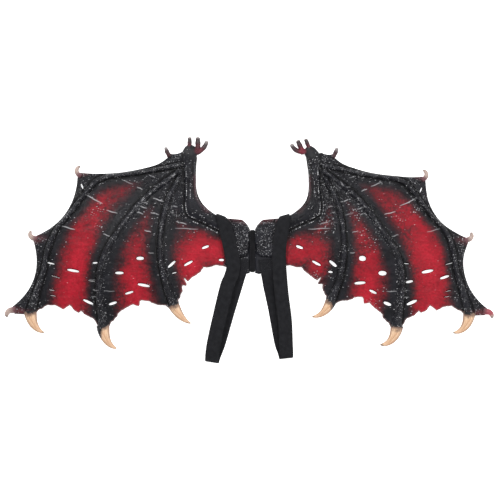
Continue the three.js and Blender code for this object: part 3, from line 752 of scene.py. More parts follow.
def scale_share(at, arm_gap, finger_gap, edge_gap, crease):
    """How thickly scales cover points: round the wrist, by the bones, on the outer edge and the plate"""
    out, up = at.points.T
    scaly = SCALY.wrist * smoothstep(*SCALY.wrist_range, at.wrist_gap)
    between = smoothstep(*SCALY.arm_range, arm_gap) * smoothstep(*SCALY.finger_range, finger_gap)
    between = between * smoothstep(*SCALY.up_range, up) * smoothstep(*SCALY.out_range, out)
    scaly = np.maximum(scaly, between)
    scaly = np.maximum(scaly, SCALY.bone * smoothstep(*SCALY.bone_range, at.beside))
    scaly = np.maximum(scaly, SCALY.outer * at.outer)
    scaly = np.maximum(scaly * (1 - SCALY.arm_bare * at.arm), at.plate)
    unpainted = (1 - SCALY.red_bare * at.red) * (1 - SCALY.tint_bare * at.tint)
    scaly = scaly * smoothstep(*SCALY.edge_range, edge_gap) * unpainted
    return scaly * smoothstep(*SCALY.crease_range, crease)


def glint_share(side, at, crease):
    """How thickly points are flecked with silver: partly silver paint, partly painted glints"""
    out, up = at.points.T
    glint = GLINT.base + GLINT.bone * smoothstep(*GLINT.bone_range, at.beside)
    glint += GLINT.wrist * smoothstep(*GLINT.wrist_range, at.wrist_gap)
    glint = np.maximum(glint, GLINT.outer * at.outer)
    tip_gap = np.hypot(*(at.points - TIP_PATCH).T)
    glint = np.maximum(glint, GLINT.tip * smoothstep(*GLINT.tip_range, tip_gap))
    patches = noise(out / GLINT.patch_length, up / GLINT.patch_width, side.seed + SEED.patches)
    patches = smoothstep(*GLINT.patch_range, patches)
    glint *= (1 - GLINT.red_bare * at.red) * (1 - GLINT.arm_bare * at.arm)
    glint *= (GLINT.patch_low + GLINT.patch_gain * patches) * (1 - GLINT.crease_bare * crease)
    for row in FLECKED:
        gap = np.hypot(out - row.out, up - row.up)
        flecked_share = smoothstep(row.reach, GLINT.flecked_full * row.reach, gap)
        flecked_share = flecked_share * (GLINT.flecked_low + GLINT.flecked_gain * patches)
        glint = np.maximum(glint, getattr(row, side.name) * flecked_share)
    return np.maximum(glint, GLINT.plate * at.plate)


def wing_fields(side, points, edge_gap, edge_kind):
    """Back, height and paint of the front at points of the layout"""
    nearest = {name: nearest_on_line(points, line) for name, line in BONE_LINES.items()}
    back = back_height(points, [gap for gap, _, _ in nearest.values()])
    nearest["arm"] = widen_arm(points, *nearest["arm"])
    bones = bone_fields(side, points, nearest)
    arm_gap, arm_hand, arm_facts = nearest["arm"]
    on_outer_edge = nearest["finger_1"][1] > 0
    at = SimpleNamespace(
        points=points,
        beside=bones.beside,
        arm=smoothstep(*ARM.edge_range, arm_gap / arm_facts[:, 0]),
        plate=plate_share(points),
        red=red_paint(side, points, bones.beside),
        tint=sprayed(points, TRACE_LINES, 0),
        wrist_gap=np.hypot(*(points - WRIST).T),
        outer=on_outer_edge * smoothstep(*OUTER_EDGE_RANGE, points[:, 0]),
    )
    arm_across = arm_gap * arm_hand
    strand_seed = side.seed + SEED.strands
    strands = noise(arm_across / ARM.strand_width, arm_facts[:, 2] / ARM.strand_length, strand_seed) - 0.5
    crease = wing_creases(at, bones, arm_across, strands)
    dash = np.zeros(len(points))
    for row in WRINKLES:
        dash = np.maximum(dash, getattr(row, side.name) * wrinkle_share(row, points))
    height = back + SHEET.thickness + wing_relief(points, bones, at.plate) + web_ripples(side, at)
    height += at.arm * ARM.strand_rise * strands - CREASE.depth * crease + WRINKLE.rise * dash
    height -= RIM.front_drop * np.exp(-((edge_gap / RIM.reach) ** 2))
    # The dark paint beside the bones joins the creases: partly inked lines, partly painted shade
    off_bones = np.exp(-((np.minimum(bones.beside - INKED_SHADE.offset, 0) / INKED_SHADE.width) ** 2))
    crease = np.maximum(crease, np.minimum(bones.ink, off_bones) * (1 - at.plate))
    scaly = scale_share(at, arm_gap, nearest["finger_3"][0], edge_gap, crease)
    glint = glint_share(side, at, crease)
    torn = np.where(edge_kind == TORN_EDGE, np.exp(-((edge_gap / RIM.torn_reach) ** 2)), 0)
    # Painted shade round each slit's edge, and a painted shadow along its upper lip
    slit_ink = RIM.slit_ink * np.exp(-((edge_gap / RIM.slit_reach) ** 2))
    crease = np.maximum(crease, np.where(edge_kind == SLIT_EDGE, slit_ink, 0))
    crease = np.maximum(crease, LIP.share * slit_lips(side, points))
    paint = {"red": at.red, "tint": at.tint, "crease": crease, "dash": dash, "crest": bones.crest}
    paint.update({"torn": torn, "scaly": scaly, "glint": glint})
    return back, height, paint


def slit_lips(side, points):
    """From 0 to 1 on the painted shadow along the upper lip of each slit"""
    lips = np.zeros(len(points))
    for row in SLITS:
        along = direction(row.slope)
        offset = points - np.array((row.out, row.up))
        share = np.abs(offset @ along) / (row.length / 2)
        above = offset @ np.array((-along[1], along[0])) - getattr(row, side.name) / 2
        lip = np.exp(-(((above - LIP.offset) / LIP.width) ** 2))
        lips = np.maximum(lips, lip * smoothstep(LIP.gone, LIP.full, share))
    return lips


def widen_arm(points, gap, hand, facts):
    """The arm's distances, stretched on the side of the webs so that its edge lies on its crease"""
    half = facts[:, 0]
    edge_gap, edge_hand, _ = nearest_on_line(points, ARM_EDGE_LINE)
    within = -edge_hand * edge_gap
    to_edge = np.where(within > 0, half * gap / (gap + np.maximum(within, 0.01)), half - within)
    return np.where(hand > 0, to_edge, gap), hand, facts


def plate_share(points):
    """From 0 outside the root plate to 1 on its flat"""
    centre = np.array((PLATE.inner + PLATE.outer, PLATE.bottom + PLATE.top)) / 2
    half = np.array((PLATE.outer - PLATE.inner, PLATE.top - PLATE.bottom)) / 2 - PLATE.corner
    reach = np.maximum(np.abs(points - centre) - half, 0)
    gap = PLATE.corner - np.hypot(*reach.T)
    return smoothstep(0, PLATE.bevel, gap)


def plate_crease(points):
    """From 0 to 1 in the crease round the root plate"""
    share = plate_share(points)
    line = np.exp(-(((share - PLATE.crease_at) / PLATE.crease_width) ** 2))
    return line * (points[:, 0] > PLATE.crease_inner)


def wrinkle_share(row, points):
    """From 0 away from a wrinkle to 1 on the middle of its crest"""
    start = np.array((row.out, row.up), float)
    run = np.array((row.out_end, row.up_end)) - start
    length = np.linalg.norm(run)
    offset = points - start
    share = offset @ run / length**2
    across = (run[0] * offset[:, 1] - run[1] * offset[:, 0]) / length
    bend = WRINKLE.bend * np.sin(3 * np.pi * share + row.out)
    taper = np.sqrt(np.clip(1 - (2 * share - 1) ** 2, 0, 1))
    return taper * np.exp(-(((across - bend) / WRINKLE.half_width) ** 2))


def sprayed(points, lines, wander):
    """Strength of the airbrush along lines of out, up, half width and strength"""
    paint = np.zeros(len(points))
    for line in lines:
        gap, _, facts = nearest_on_line(points, line)
        share = (gap + wander) / facts[:, 0]
        paint = np.maximum(paint, facts[:, 1] * smoothstep(STROKE_EDGE.gone, STROKE_EDGE.full, share))
    return paint


def red_paint(side, points, beside):
    """Strength of the red in the webs, which stays clear of the bones and the root"""
    grid = points / STROKE_EDGE.wander_length
    wander = STROKE_EDGE.wander * (noise(grid[:, 0], grid[:, 1], side.seed + SEED.wander) - 0.5)
    red = sprayed(points, STROKE_LINES[side.name], wander)
    red *= smoothstep(STROKE_EDGE.clear, STROKE_EDGE.margin, beside)
    return red * smoothstep(STROKE_EDGE.root_gone, STROKE_EDGE.root_full, points[:, 0])


# Meshes
def new_piece(name, points, faces):
    """A smooth object at the origin from points in millimetres"""
    mesh = bpy.data.meshes.new(name)
    mesh.from_pydata((np.asarray(points, float) * MM).tolist(), [], [list(face) for face in faces])
    mesh.validate()
    mesh.update()
    mesh.polygons.foreach_set("use_smooth", np.full(len(mesh.polygons), True))
    piece = bpy.data.objects.new(name, mesh)
    bpy.context.scene.collection.objects.link(piece)
    return piece


def store(piece, name, values, kind="FLOAT"):
    """Keeps one value for each point of a piece, for its material to read"""
    attribute = piece.data.attributes.new(name, kind, "POINT")
    field = "vector" if kind == "FLOAT_VECTOR" else "value"
    attribute.data.foreach_set(field, np.ravel(values).astype(np.float32))


def face_out(piece):
    """Turns the faces of a closed piece outwards"""
    shell = bmesh.new()
    shell.from_mesh(piece.data)
    bmesh.ops.recalc_face_normals(shell, faces=shell.faces)
    shell.to_mesh(piece.data)
    shell.free()


def as_plain_mesh(piece):
    """Swaps a piece's mesh for what its modifiers make of it"""
    evaluated = piece.evaluated_get(bpy.context.evaluated_depsgraph_get())
    mesh = bpy.data.meshes.new_from_object(evaluated)
    piece.modifiers.clear()
    piece.data = mesh
    return piece


def ring_faces(ring_count, sides):
    """Faces between rings of points that follow each other in the numbering"""
    faces = []
    for ring in range(ring_count - 1):
        low, high = ring * sides, (ring + 1) * sides
        for i in range(sides):
            after = (i + 1) % sides
            faces.append((low + i, low + after, high + after, high + i))
    return faces


def wing_skin(side):
    """The whole casting of one wing: web, bones and root plate in one skin"""
    rim, torn = outline_loop(side.seed)
    kinds = [np.where(torn, TORN_EDGE, PLAIN_EDGE)]
    loops = [rim]
    for row in SLITS:
        loop = slit_loop(row, getattr(row, side.name))
        loops.append(loop)
        kinds.append(np.full(len(loop), SLIT_EDGE))
    for i, loop in enumerate(loops):
        if (signed_area(loop) > 0) != (i == 0):
            loops[i] = loop[::-1]
            kinds[i] = kinds[i][::-1]
    edge = np.vstack(loops)
    edge_kind = np.concatenate(kinds)
    tree = kdtree.KDTree(len(edge))
    for i, at in enumerate(edge):
        tree.insert((at[0], at[1], 0), i)
    tree.balance()

    def edge_facts(points):
        found = [tree.find((at[0], at[1], 0)) for at in points]
        return np.array([f[2] for f in found]), edge_kind[[f[1] for f in found]]

    def clear_of_edges(points, distance):
        points = points[inside(points, loops[0])]
        for hole in loops[1:]:
            points = points[~inside(points, hole)]
        return points[edge_facts(points)[0] > distance]

    low, high = edge.min(axis=0), edge.max(axis=0)
    bones = np.vstack([bone_points(line) for line in BONE_LINES.values()])
    bones = thinned(clear_of_edges(bones, SKIN.closest), edge, SKIN.closest)
    wrinkles = clear_of_edges(wrinkle_points(), SKIN.closest)
    wrinkles = thinned(wrinkles, bones, SKIN.closest)
    fill = hex_points(low, high, SKIN.front_step, side.seed)
    fill = clear_of_edges(fill, SKIN.edge_share * SKIN.front_step)
    shaped = np.vstack([bones, wrinkles])
    fill = thinned(fill, shaped, SKIN.shaped_share * SKIN.front_step)
    points, front_faces = triangulate(loops, np.vstack([shaped, fill]))
    back_fill = hex_points(low, high, SKIN.back_step, side.seed + 1)
    back_fill = clear_of_edges(back_fill, SKIN.back_share * SKIN.back_step)
    back_points, back_faces = triangulate(loops, back_fill)

    edge_gap, near_kind = edge_facts(points)
    back, height, paint = wing_fields(side, points, edge_gap, near_kind)
    count = len(edge)
    outward = np.zeros((count, 2))
    wall = []
    first = 0
    for loop in loops:
        ids = first + np.arange(len(loop))
        run = np.roll(loop, -1, axis=0) - np.roll(loop, 1, axis=0)
        run /= np.maximum(np.linalg.norm(run, axis=1, keepdims=True), 1e-9)
        outward[ids] = np.column_stack([run[:, 1], -run[:, 0]])
        wall += list(zip(ids, np.roll(ids, -1)))
        first += len(loop)

    front_flat = lay_on_wing(side, points)
    back_flat = lay_on_wing(side, back_points)
    bulge = np.where(edge_kind == SLIT_EDGE, 0, RIM.bulge)[:, None]
    middle_flat = lay_on_wing(side, edge + bulge * outward)
    back_edge = back[:count] + RIM.back_lift
    back_rise = np.concatenate([back_edge, back_height(back_points[count:])])
    middle_rise = 0.5 * (back_edge + height[:count])
    front = np.column_stack([front_flat, height])
    behind = np.column_stack([back_flat, back_rise])
    middle = np.column_stack([middle_flat, middle_rise])
    behind_first = len(front)
    middle_first = behind_first + len(behind)
    faces = [tuple(face) for face in front_faces]
    faces += [tuple(behind_first + face[::-1]) for face in back_faces]
    for i, j in wall:
        faces.append((middle_first + i, middle_first + j, j, i))
        faces.append((behind_first + i, behind_first + j, middle_first + j, middle_first + i))
    if side.sign < 0:
        faces = [face[::-1] for face in faces]
    skin = new_piece(f"{side.name}_wing_skin", np.vstack([front, behind, middle]), faces)
    on_back = np.zeros(len(behind))
    on_rim = np.full(count, RIM.front_share)
    for name, values in paint.items():
        store(skin, name, np.concatenate([values, on_back, values[:count]]))
    store(skin, "front", np.concatenate([np.ones(len(front)), on_back, on_rim]))
    return skin


def horn_line(start, heading, shape, steps, tuck):
    """Stations along a horn: place, direction across, share of the length, and girth"""
    tucked = np.linspace(-tuck / shape.length, 0, TUCK_STEPS)
    marks = np.concatenate([tucked[:-1], np.linspace(0, 1, steps + 1)])
    at = start - direction(heading) * tuck
    stations = []
    for i, share in enumerate(marks):
        lean = shape.lean * smoothstep(0, LEAN_SHARE, share)
        bearing = heading - lean - shape.turn * max(share, 0) ** shape.curl
        ahead = direction(bearing)
        girth = 1 - (1 - shape.end_share) * max(share, 0) ** shape.taper
        girth *= 1 + shape.swell * math.sin(math.pi * max(share, 0))
        girth *= 1 + shape.knuckles * math.cos(4 * math.pi * share)
        girth *= 1 - SUNK_SHARE * smoothstep(0, -tuck / shape.length, share) * shape.sunk
        stations.append((at.copy(), np.array((-ahead[1], ahead[0])), share, girth))
        if i + 1 < len(marks):
            half = 0.5 * (share + marks[i + 1])
            lean = shape.lean if half > 0 else 0
            bearing = heading - lean - shape.turn * max(half, 0) ** shape.curl
            at += direction(bearing) * (marks[i + 1] - share) * shape.length
    return stations


def horn_mesh(side, start, heading, shape, base, fluting=0.0, sides=28, steps=34, tuck=5.0):
    """Points and faces of a horn, with the share of its length and a vector round it for each point"""
    rings = []
    shares = []
    round_it = []
    spins = 2 * np.pi * np.arange(sides) / sides
    for at, across, share, girth in horn_line(start, heading, shape, steps, tuck):
        wave = np.cos(spins * FLUTE.count + FLUTE.wave * np.sin(spins * FLUTE.waves))
        flutes = 1 + fluting * wave * (1 - max(share, 0))
        girth *= math.sqrt(1 - np.clip((share - 1 + shape.rounding) / shape.rounding, 0, 0.995) ** 2)
        aside = girth * flutes * (shape.width / 2) * np.cos(spins)
        height = base + shape.rise + (shape.tip_rise - shape.rise) * max(share, 0)
        flat = lay_on_wing(side, at + np.outer(aside, across))
        height = height + girth * flutes * (shape.depth / 2) * np.sin(spins)
        rings.append(np.column_stack([flat, height]))
        shares.append(np.full(sides, share))
        round_it.append(np.column_stack([np.cos(spins), np.sin(spins), np.full(sides, share)]))
    faces = ring_faces(len(rings), sides)
    last = (len(rings) - 1) * sides
    tip = len(rings) * sides
    beyond = rings[-1].mean(axis=0) * 1.5 - rings[-2].mean(axis=0) * 0.5
    points = np.vstack(rings + [beyond, rings[0].mean(axis=0)])
    for i in range(sides):
        after = (i + 1) % sides
        faces.append((last + i, last + after, tip))
        faces.append((after, i, tip + 1))
    share = np.concatenate(shares + [[1.0, ROOT_SHARE]])
    around = np.vstack(round_it + [(0, 0, 1), (0, 0, ROOT_SHARE)])
    return points, faces, share, around


def root_of(start, end):
    """The middle of a root edge, and the heading straight out of it"""
    run = CORNER[end] - CORNER[start]
    outward = np.array((-run[1], run[0]))
    return (CORNER[start] + CORNER[end]) / 2, math.degrees(math.atan2(outward[1], outward[0]))


def edge_horn(side, row, form, fluting=0.0):
    """A spur, hook or claw on the wing's edge"""
    start, heading = root_of(row.start, row.end)
    base = back_height(start[None, :])[0] - SHEET.lift
    shape = SimpleNamespace(**vars(row), **form)
    points, faces, share, around = horn_mesh(side, start, heading, shape, base, fluting)
    piece = new_piece(f"{side.name}_{row.name}_cast", points, faces)
    face_out(piece)
    store(piece, "reach", share - row.sleeve * np.clip(around[:, 0], 0, 1))
    store(piece, "round_it", around, "FLOAT_VECTOR")
    flush = smoothstep(*HORN_BLUSH.start_range, share) * smoothstep(*HORN_BLUSH.end_range, share)
    store(piece, "blush", row.blush * flush)
    return piece


def hand_cast(side):
    """The palm and its three fingers, fused into one smooth casting"""
    palm_row, *digit_rows = HANDS[side.name]
    palm = SimpleNamespace(**vars(palm_row), **PALM)
    root = np.array((palm_row.out, palm_row.up))
    parts = [horn_mesh(side, root, palm_row.heading, palm, 0, sides=32, steps=24, tuck=14)]
    for row in digit_rows:
        girth = row.width * DIGIT_SWELL
        digit = SimpleNamespace(**{**vars(row), **DIGIT, "width": girth, "depth": girth})
        root = np.array((row.out, row.up))
        parts.append(horn_mesh(side, root, row.heading, digit, 0, sides=20, steps=30, tuck=7))
    points = []
    faces = []
    shares = []
    first = 0
    for i, (part_points, part_faces, share, _) in enumerate(parts):
        points.append(part_points)
        faces += [tuple(first + k for k in face) for face in part_faces]
        shares.append(share if i else share * 0)
        first += len(part_points)
    points = np.vstack(points)
    shares = np.concatenate(shares)
    piece = new_piece(f"{side.name}_hand_cast", points, faces)
    face_out(piece)
    fuse = piece.modifiers.new("fuse", "REMESH")
    fuse.mode = "VOXEL"
    fuse.voxel_size = HAND.voxel * MM
    fuse.use_smooth_shade = True
    soften = piece.modifiers.new("soften", "SMOOTH")
    soften.iterations = HAND.smoothing
    as_plain_mesh(piece)
    tree = kdtree.KDTree(len(points))
    for i, at in enumerate(points * MM):
        tree.insert(at, i)
    tree.balance()
    store(piece, "reach", [shares[tree.find(v.co)[1]] for v in piece.data.vertices])
    store(piece, "round_it", [(0.0, 0.0, 0.0)] * len(piece.data.vertices), "FLOAT_VECTOR")
    between = np.mean([(row.out, row.up) for row in digit_rows[1:]], axis=0)
    middle = lay_on_wing(side, between[None, :])[0]
    places = np.array([v.co for v in piece.data.vertices]) / MM
    gaps = np.hypot(places[:, 0] - middle[0], places[:, 1] - middle[1])
    store(piece, "blush", side.blush * smoothstep(BLUSH.gone, BLUSH.full, gaps))
    return piece


def strap_frames(side):
    """Stations along one strap: its route, its middle, and the directions across it and out of its face"""
    route = resample(spline(STRAPS[side.name], 3, 16), STRAP.step, 3)
    middle = route[:, :3] * np.array((side.sign, 1, 1))
    ahead = np.gradient(middle, axis=0)
    yaw = np.radians(route[:, 3])
    across = np.column_stack([side.sign * np.cos(yaw), np.sin(yaw), np.zeros(len(yaw))])
    from_top = route[:, 4] - route[route[:, 1].argmax(), 4]
    across *= 1 - STRAP.gather * np.exp(-((from_top / STRAP.gather_reach) ** 2))[:, None]
    face = np.cross(across, ahead)
    face /= np.linalg.norm(face, axis=1, keepdims=True)
    return route, middle, across, face


def sewn_box(side):
    """Lines of stitching that hold a strap's sewn end: a box and its two diagonals"""
    route, middle, across, face = strap_frames(side)
    length = route[-1, 4]

    def at_mark(columns, mark):
        return np.array([np.interp(mark, route[:, 4], values) for values in columns.T])

    def on_strap(place):
        aside, from_end = place
        normal = at_mark(face, length - from_end)
        return at_mark(middle + aside * across, length - from_end) + normal * np.sign(normal[2]) * SEWN.rise

    corners = np.array([
        (-SEWN.half, SEWN.near), (SEWN.half, SEWN.near), (SEWN.half, SEWN.far), (-SEWN.half, SEWN.far),
    ])
    runs = [(0, 1), (1, 2), (2, 3), (3, 0), (0, 2), (1, 3)]
    shares = np.linspace(0, 1, SEWN.points)
    return [
        [on_strap(corners[i] + share * (corners[j] - corners[i])) for share in shares]
        for i, j in runs
    ]


def strap_webbing(side):
    """One elastic strap along its route, with its flat length"""
    route, middle, across, face = strap_frames(side)
    share = np.linspace(-1, 1, STRAP.columns)
    ribs = STRAP.rib_rise * np.cos(np.pi * STRAP.ribs * (share + 1))
    half = STRAP.thickness / 2 * (1 - STRAP.edge_round * np.abs(share) ** STRAP.edge_power)
    half += ribs - STRAP.rib_rise
    ring_share = np.concatenate([share, share[::-1]])
    ring_half = np.concatenate([half, -half[::-1]])
    rings = (
        middle[:, None, :]
        + across[:, None, :] * (ring_share * STRAP.width / 2)[None, :, None]
        + face[:, None, :] * ring_half[None, :, None]
    )
    count = len(ring_share)
    faces = ring_faces(len(rings), count)
    last = (len(rings) - 1) * count
    for i in range(STRAP.columns - 1):
        twin = count - 1 - i
        faces.append((i, twin, twin - 1, i + 1))
        faces.append((last + i, last + i + 1, last + twin - 1, last + twin))
    piece = new_piece(f"{side.name}_strap_webbing", rings.reshape(-1, 3), faces)
    face_out(piece)
    weave = np.column_stack([
        np.tile(ring_share * STRAP.width / 2, len(rings)),
        np.repeat(route[:, 4], count),
        np.zeros(count * len(rings)),
    ])
    store(piece, "weave", weave, "FLOAT_VECTOR")
    return piece, route[-1, 4]


def centre_band():
    """The cloth strip between the wings, pillowed and slightly waisted"""
    marks = np.linspace(0, 1, STRIP.steps + 1)
    spins = 2 * np.pi * np.arange(STRIP.sides) / STRIP.sides
    rings = []
    for share in marks:
        end = min(1.0, STRIP.end_rate * min(share, 1 - share) + STRIP.end_share)
        waist = 1 - STRIP.waist * math.sin(math.pi * share)
        x = np.sign(np.cos(spins)) * np.abs(np.cos(spins)) ** STRIP.side_power
        x = x * STRIP.width / 2 * waist * end
        z = np.sign(np.sin(spins)) * np.abs(np.sin(spins)) ** STRIP.face_power
        fold = STRIP.fold * np.exp(-((x / STRIP.fold_width) ** 2)) * (z > 0)
        z = STRIP.height / 2 * (1 + z * end) - fold
        y = np.full(len(spins), STRIP.bottom + share * (STRIP.top - STRIP.bottom))
        rings.append(np.column_stack([x, y, z]))
    points = np.vstack(rings)
    faces = ring_faces(len(rings), STRIP.sides)
    faces.append(tuple(range(STRIP.sides)))
    faces.append(tuple(range(len(points) - STRIP.sides, len(points))))
    piece = new_piece("centre_band", points, faces)
    face_out(piece)
    store(piece, "weave", points, "FLOAT_VECTOR")
    return piece


# Geometry Nodes
def new_tree(name, sizes):
    """A Geometry Nodes tree with named sizes and a material as inputs"""
    tree = bpy.data.node_groups.new(name, "GeometryNodeTree")
    tree.interface.new_socket("Geometry", in_out="INPUT", socket_type="NodeSocketGeometry")
    tree.interface.new_socket("Geometry", in_out="OUTPUT", socket_type="NodeSocketGeometry")
    for size in sizes:
        tree.interface.new_socket(size, in_out="INPUT", socket_type="NodeSocketFloat")
    tree.interface.new_socket("Seed", in_out="INPUT", socket_type="NodeSocketInt")
    tree.interface.new_socket("Material", in_out="INPUT", socket_type="NodeSocketMaterial")
    return tree


def add_node(tree, kind, inputs=None, **settings):
    node = tree.nodes.new(kind)
    for name, value in settings.items():
        setattr(node, name, value)
    for socket, value in (inputs or {}).items():
        if isinstance(value, bpy.types.NodeSocket):
            tree.links.new(value, node.inputs[socket])
        else:
            node.inputs[socket].default_value = value
    return node


def random_value(tree, least, most, seed):
    node = add_node(tree, "FunctionNodeRandomValue", {2: least, 3: most, "Seed": seed}, data_type="FLOAT")
    return node.outputs[1]


def keep_value(tree, geometry, name, value, domain):
    """A geometry that keeps a value, for its material to read"""
    kept = add_node(tree, "GeometryNodeStoreNamedAttribute", {
        "Geometry": geometry, "Name": name, "Value": value,
    }, data_type="FLOAT", domain=domain)
    return kept.outputs[0]


def finish_tree(tree, instances, given, speck_seed):
    """Gives each instance its luck with the silver, then realizes, smooths and paints them"""
    luck = random_value(tree, 0.0, 1.0, speck_seed)
    marked = keep_value(tree, instances, "speck", luck, "INSTANCE")
    real = add_node(tree, "GeometryNodeRealizeInstances", {"Geometry": marked})
    smooth = add_node(tree, "GeometryNodeSetShadeSmooth", {"Geometry": real.outputs[0]})
    painted = add_node(tree, "GeometryNodeSetMaterial", {
        "Geometry": smooth.outputs[0], "Material": given.outputs["Material"],
    })
    add_node(tree, "NodeGroupOutput", {"Geometry": painted.outputs[0]})


def crowned(tree, ball):
    """A ball that keeps its own height, as a share, so that paint can sit on its crown, where the silver is
    partly a painted highlight
    """
    position = add_node(tree, "GeometryNodeInputPosition")
    place = add_node(tree, "ShaderNodeSeparateXYZ", {0: position.outputs[0]})
    share = calculate(tree, "DIVIDE", place.outputs[2], ball.inputs["Radius"].default_value)
    return keep_value(tree, ball.outputs[0], "crown", share, "POINT")


def scale_field_tree():
    """Small raised scales, scattered over a skin where its "scaly" value asks for them"""
    tree = new_tree("scale_field", ["Spacing", "Size", "Flatness"])
    given = add_node(tree, "NodeGroupInput")
    scaly = add_node(tree, "GeometryNodeInputNamedAttribute", {"Name": "scaly"}, data_type="FLOAT")
    spread = add_node(tree, "GeometryNodeDistributePointsOnFaces", {
        "Mesh": given.outputs["Geometry"],
        "Distance Min": given.outputs["Spacing"],
        "Density Max": 400000.0,
        "Density Factor": scaly.outputs["Attribute"],
        "Seed": given.outputs["Seed"],
    }, distribute_method="POISSON")
    dome = crowned(tree, add_node(tree, "GeometryNodeMeshIcoSphere", {"Radius": 1.0, "Subdivisions": 1}))
    vary = random_value(tree, 0.6, 1.2, given.outputs["Seed"])
    size = calculate(tree, "MULTIPLY", given.outputs["Size"], vary)
    tall = calculate(tree, "MULTIPLY", size, given.outputs["Flatness"])
    scale = add_node(tree, "ShaderNodeCombineXYZ", {"X": size, "Y": size, "Z": tall})
    set_out = add_node(tree, "GeometryNodeInstanceOnPoints", {
        "Points": spread.outputs["Points"],
        "Instance": dome,
        "Rotation": spread.outputs["Rotation"],
        "Scale": scale.outputs[0],
    })
    finish_tree(tree, set_out.outputs[0], given, speck_seed=7)
    return tree


def bead_row_tree():
    """Beads or stitches, a spacing apart along the edges of a mesh"""
    tree = new_tree("bead_row", ["Spacing", "Length", "Width", "Height", "Smallest"])
    given = add_node(tree, "NodeGroupInput")
    path = add_node(tree, "GeometryNodeMeshToCurve", {"Mesh": given.outputs["Geometry"]})
    marks = add_node(tree, "GeometryNodeResampleCurve", {
        "Curve": path.outputs[0], "Length": given.outputs["Spacing"],
    }, mode="LENGTH")
    ahead = add_node(tree, "GeometryNodeInputTangent")
    turn = add_node(tree, "FunctionNodeAlignRotationToVector", {
        "Vector": ahead.outputs[0],
    }, axis="X", pivot_axis="Z")
    ball = add_node(tree, "GeometryNodeMeshUVSphere", {"Segments": 8, "Rings": 6, "Radius": 0.5})
    bead = crowned(tree, ball)
    vary = random_value(tree, given.outputs["Smallest"], 1.2, given.outputs["Seed"])
    size = add_node(tree, "ShaderNodeCombineXYZ", {
        "X": given.outputs["Length"], "Y": given.outputs["Width"], "Z": given.outputs["Height"],
    })
    scale = add_node(tree, "ShaderNodeVectorMath", {0: size.outputs[0], "Scale": vary}, operation="SCALE")
    set_out = add_node(tree, "GeometryNodeInstanceOnPoints", {
        "Points": marks.outputs[0],
        "Instance": bead,
        "Rotation": turn.outputs[0],
        "Scale": scale.outputs[0],
    })
    finish_tree(tree, set_out.outputs[0], given, speck_seed=5)
    return tree


def grow(name, source, tree, values):
    """A plain mesh piece from a tree run over a copy of a source mesh"""
    piece = bpy.data.objects.new(name, source.copy())
    bpy.context.scene.collection.objects.link(piece)
    grower = piece.modifiers.new(tree.name, "NODES")
    grower.node_group = tree
    for socket in tree.interface.items_tree:
        if socket.in_out == "INPUT" and socket.name in values:
            grower[socket.identifier] = values[socket.name]
    return as_plain_mesh(piece)


def path_mesh(name, lines):
    """A mesh of bare edges through lines of points in millimetres"""
    points = []
    edges = []
    for line in lines:
        edges += [(len(points) + i, len(points) + i + 1) for i in range(len(line) - 1)]
        points += [tuple(at) for at in np.asarray(line, float) * MM]
    mesh = bpy.data.meshes.new(name)
    mesh.from_pydata(points, edges, [])
    return mesh


# Materials
def mix_colour(tree, share, first, second):
    node = add_node(tree, "ShaderNodeMix", {0: share, 6: first, 7: second}, data_type="RGBA")
    return node.outputs[2]


def calculate(tree, operation, first, second=0.0):
    node = add_node(tree, "ShaderNodeMath", {0: first, 1: second}, operation=operation)
    return node.outputs[0]


def fade(tree, value, low, high, to_low=0.0, to_high=1.0):
    node = add_node(tree, "ShaderNodeMapRange", {
        "Value": value, "From Min": low, "From Max": high, "To Min": to_low, "To Max": to_high,
    }, interpolation_type="SMOOTHSTEP")
    return node.outputs["Result"]


def read(tree, name, output="Fac"):
    return add_node(tree, "ShaderNodeAttribute", attribute_name=name).outputs[output]


def new_group(name, inputs, outputs):
    """A shader node group, its input node and its output node"""
    tree = bpy.data.node_groups.new(name, "ShaderNodeTree")
    for socket, value in inputs.items():
        made = tree.interface.new_socket(socket, in_out="INPUT", socket_type="NodeSocketFloat")
        made.default_value = value
    for socket in outputs:
        tree.interface.new_socket(socket, in_out="OUTPUT", socket_type="NodeSocketFloat")
    return tree, tree.nodes.new("NodeGroupInput"), tree.nodes.new("NodeGroupOutput")


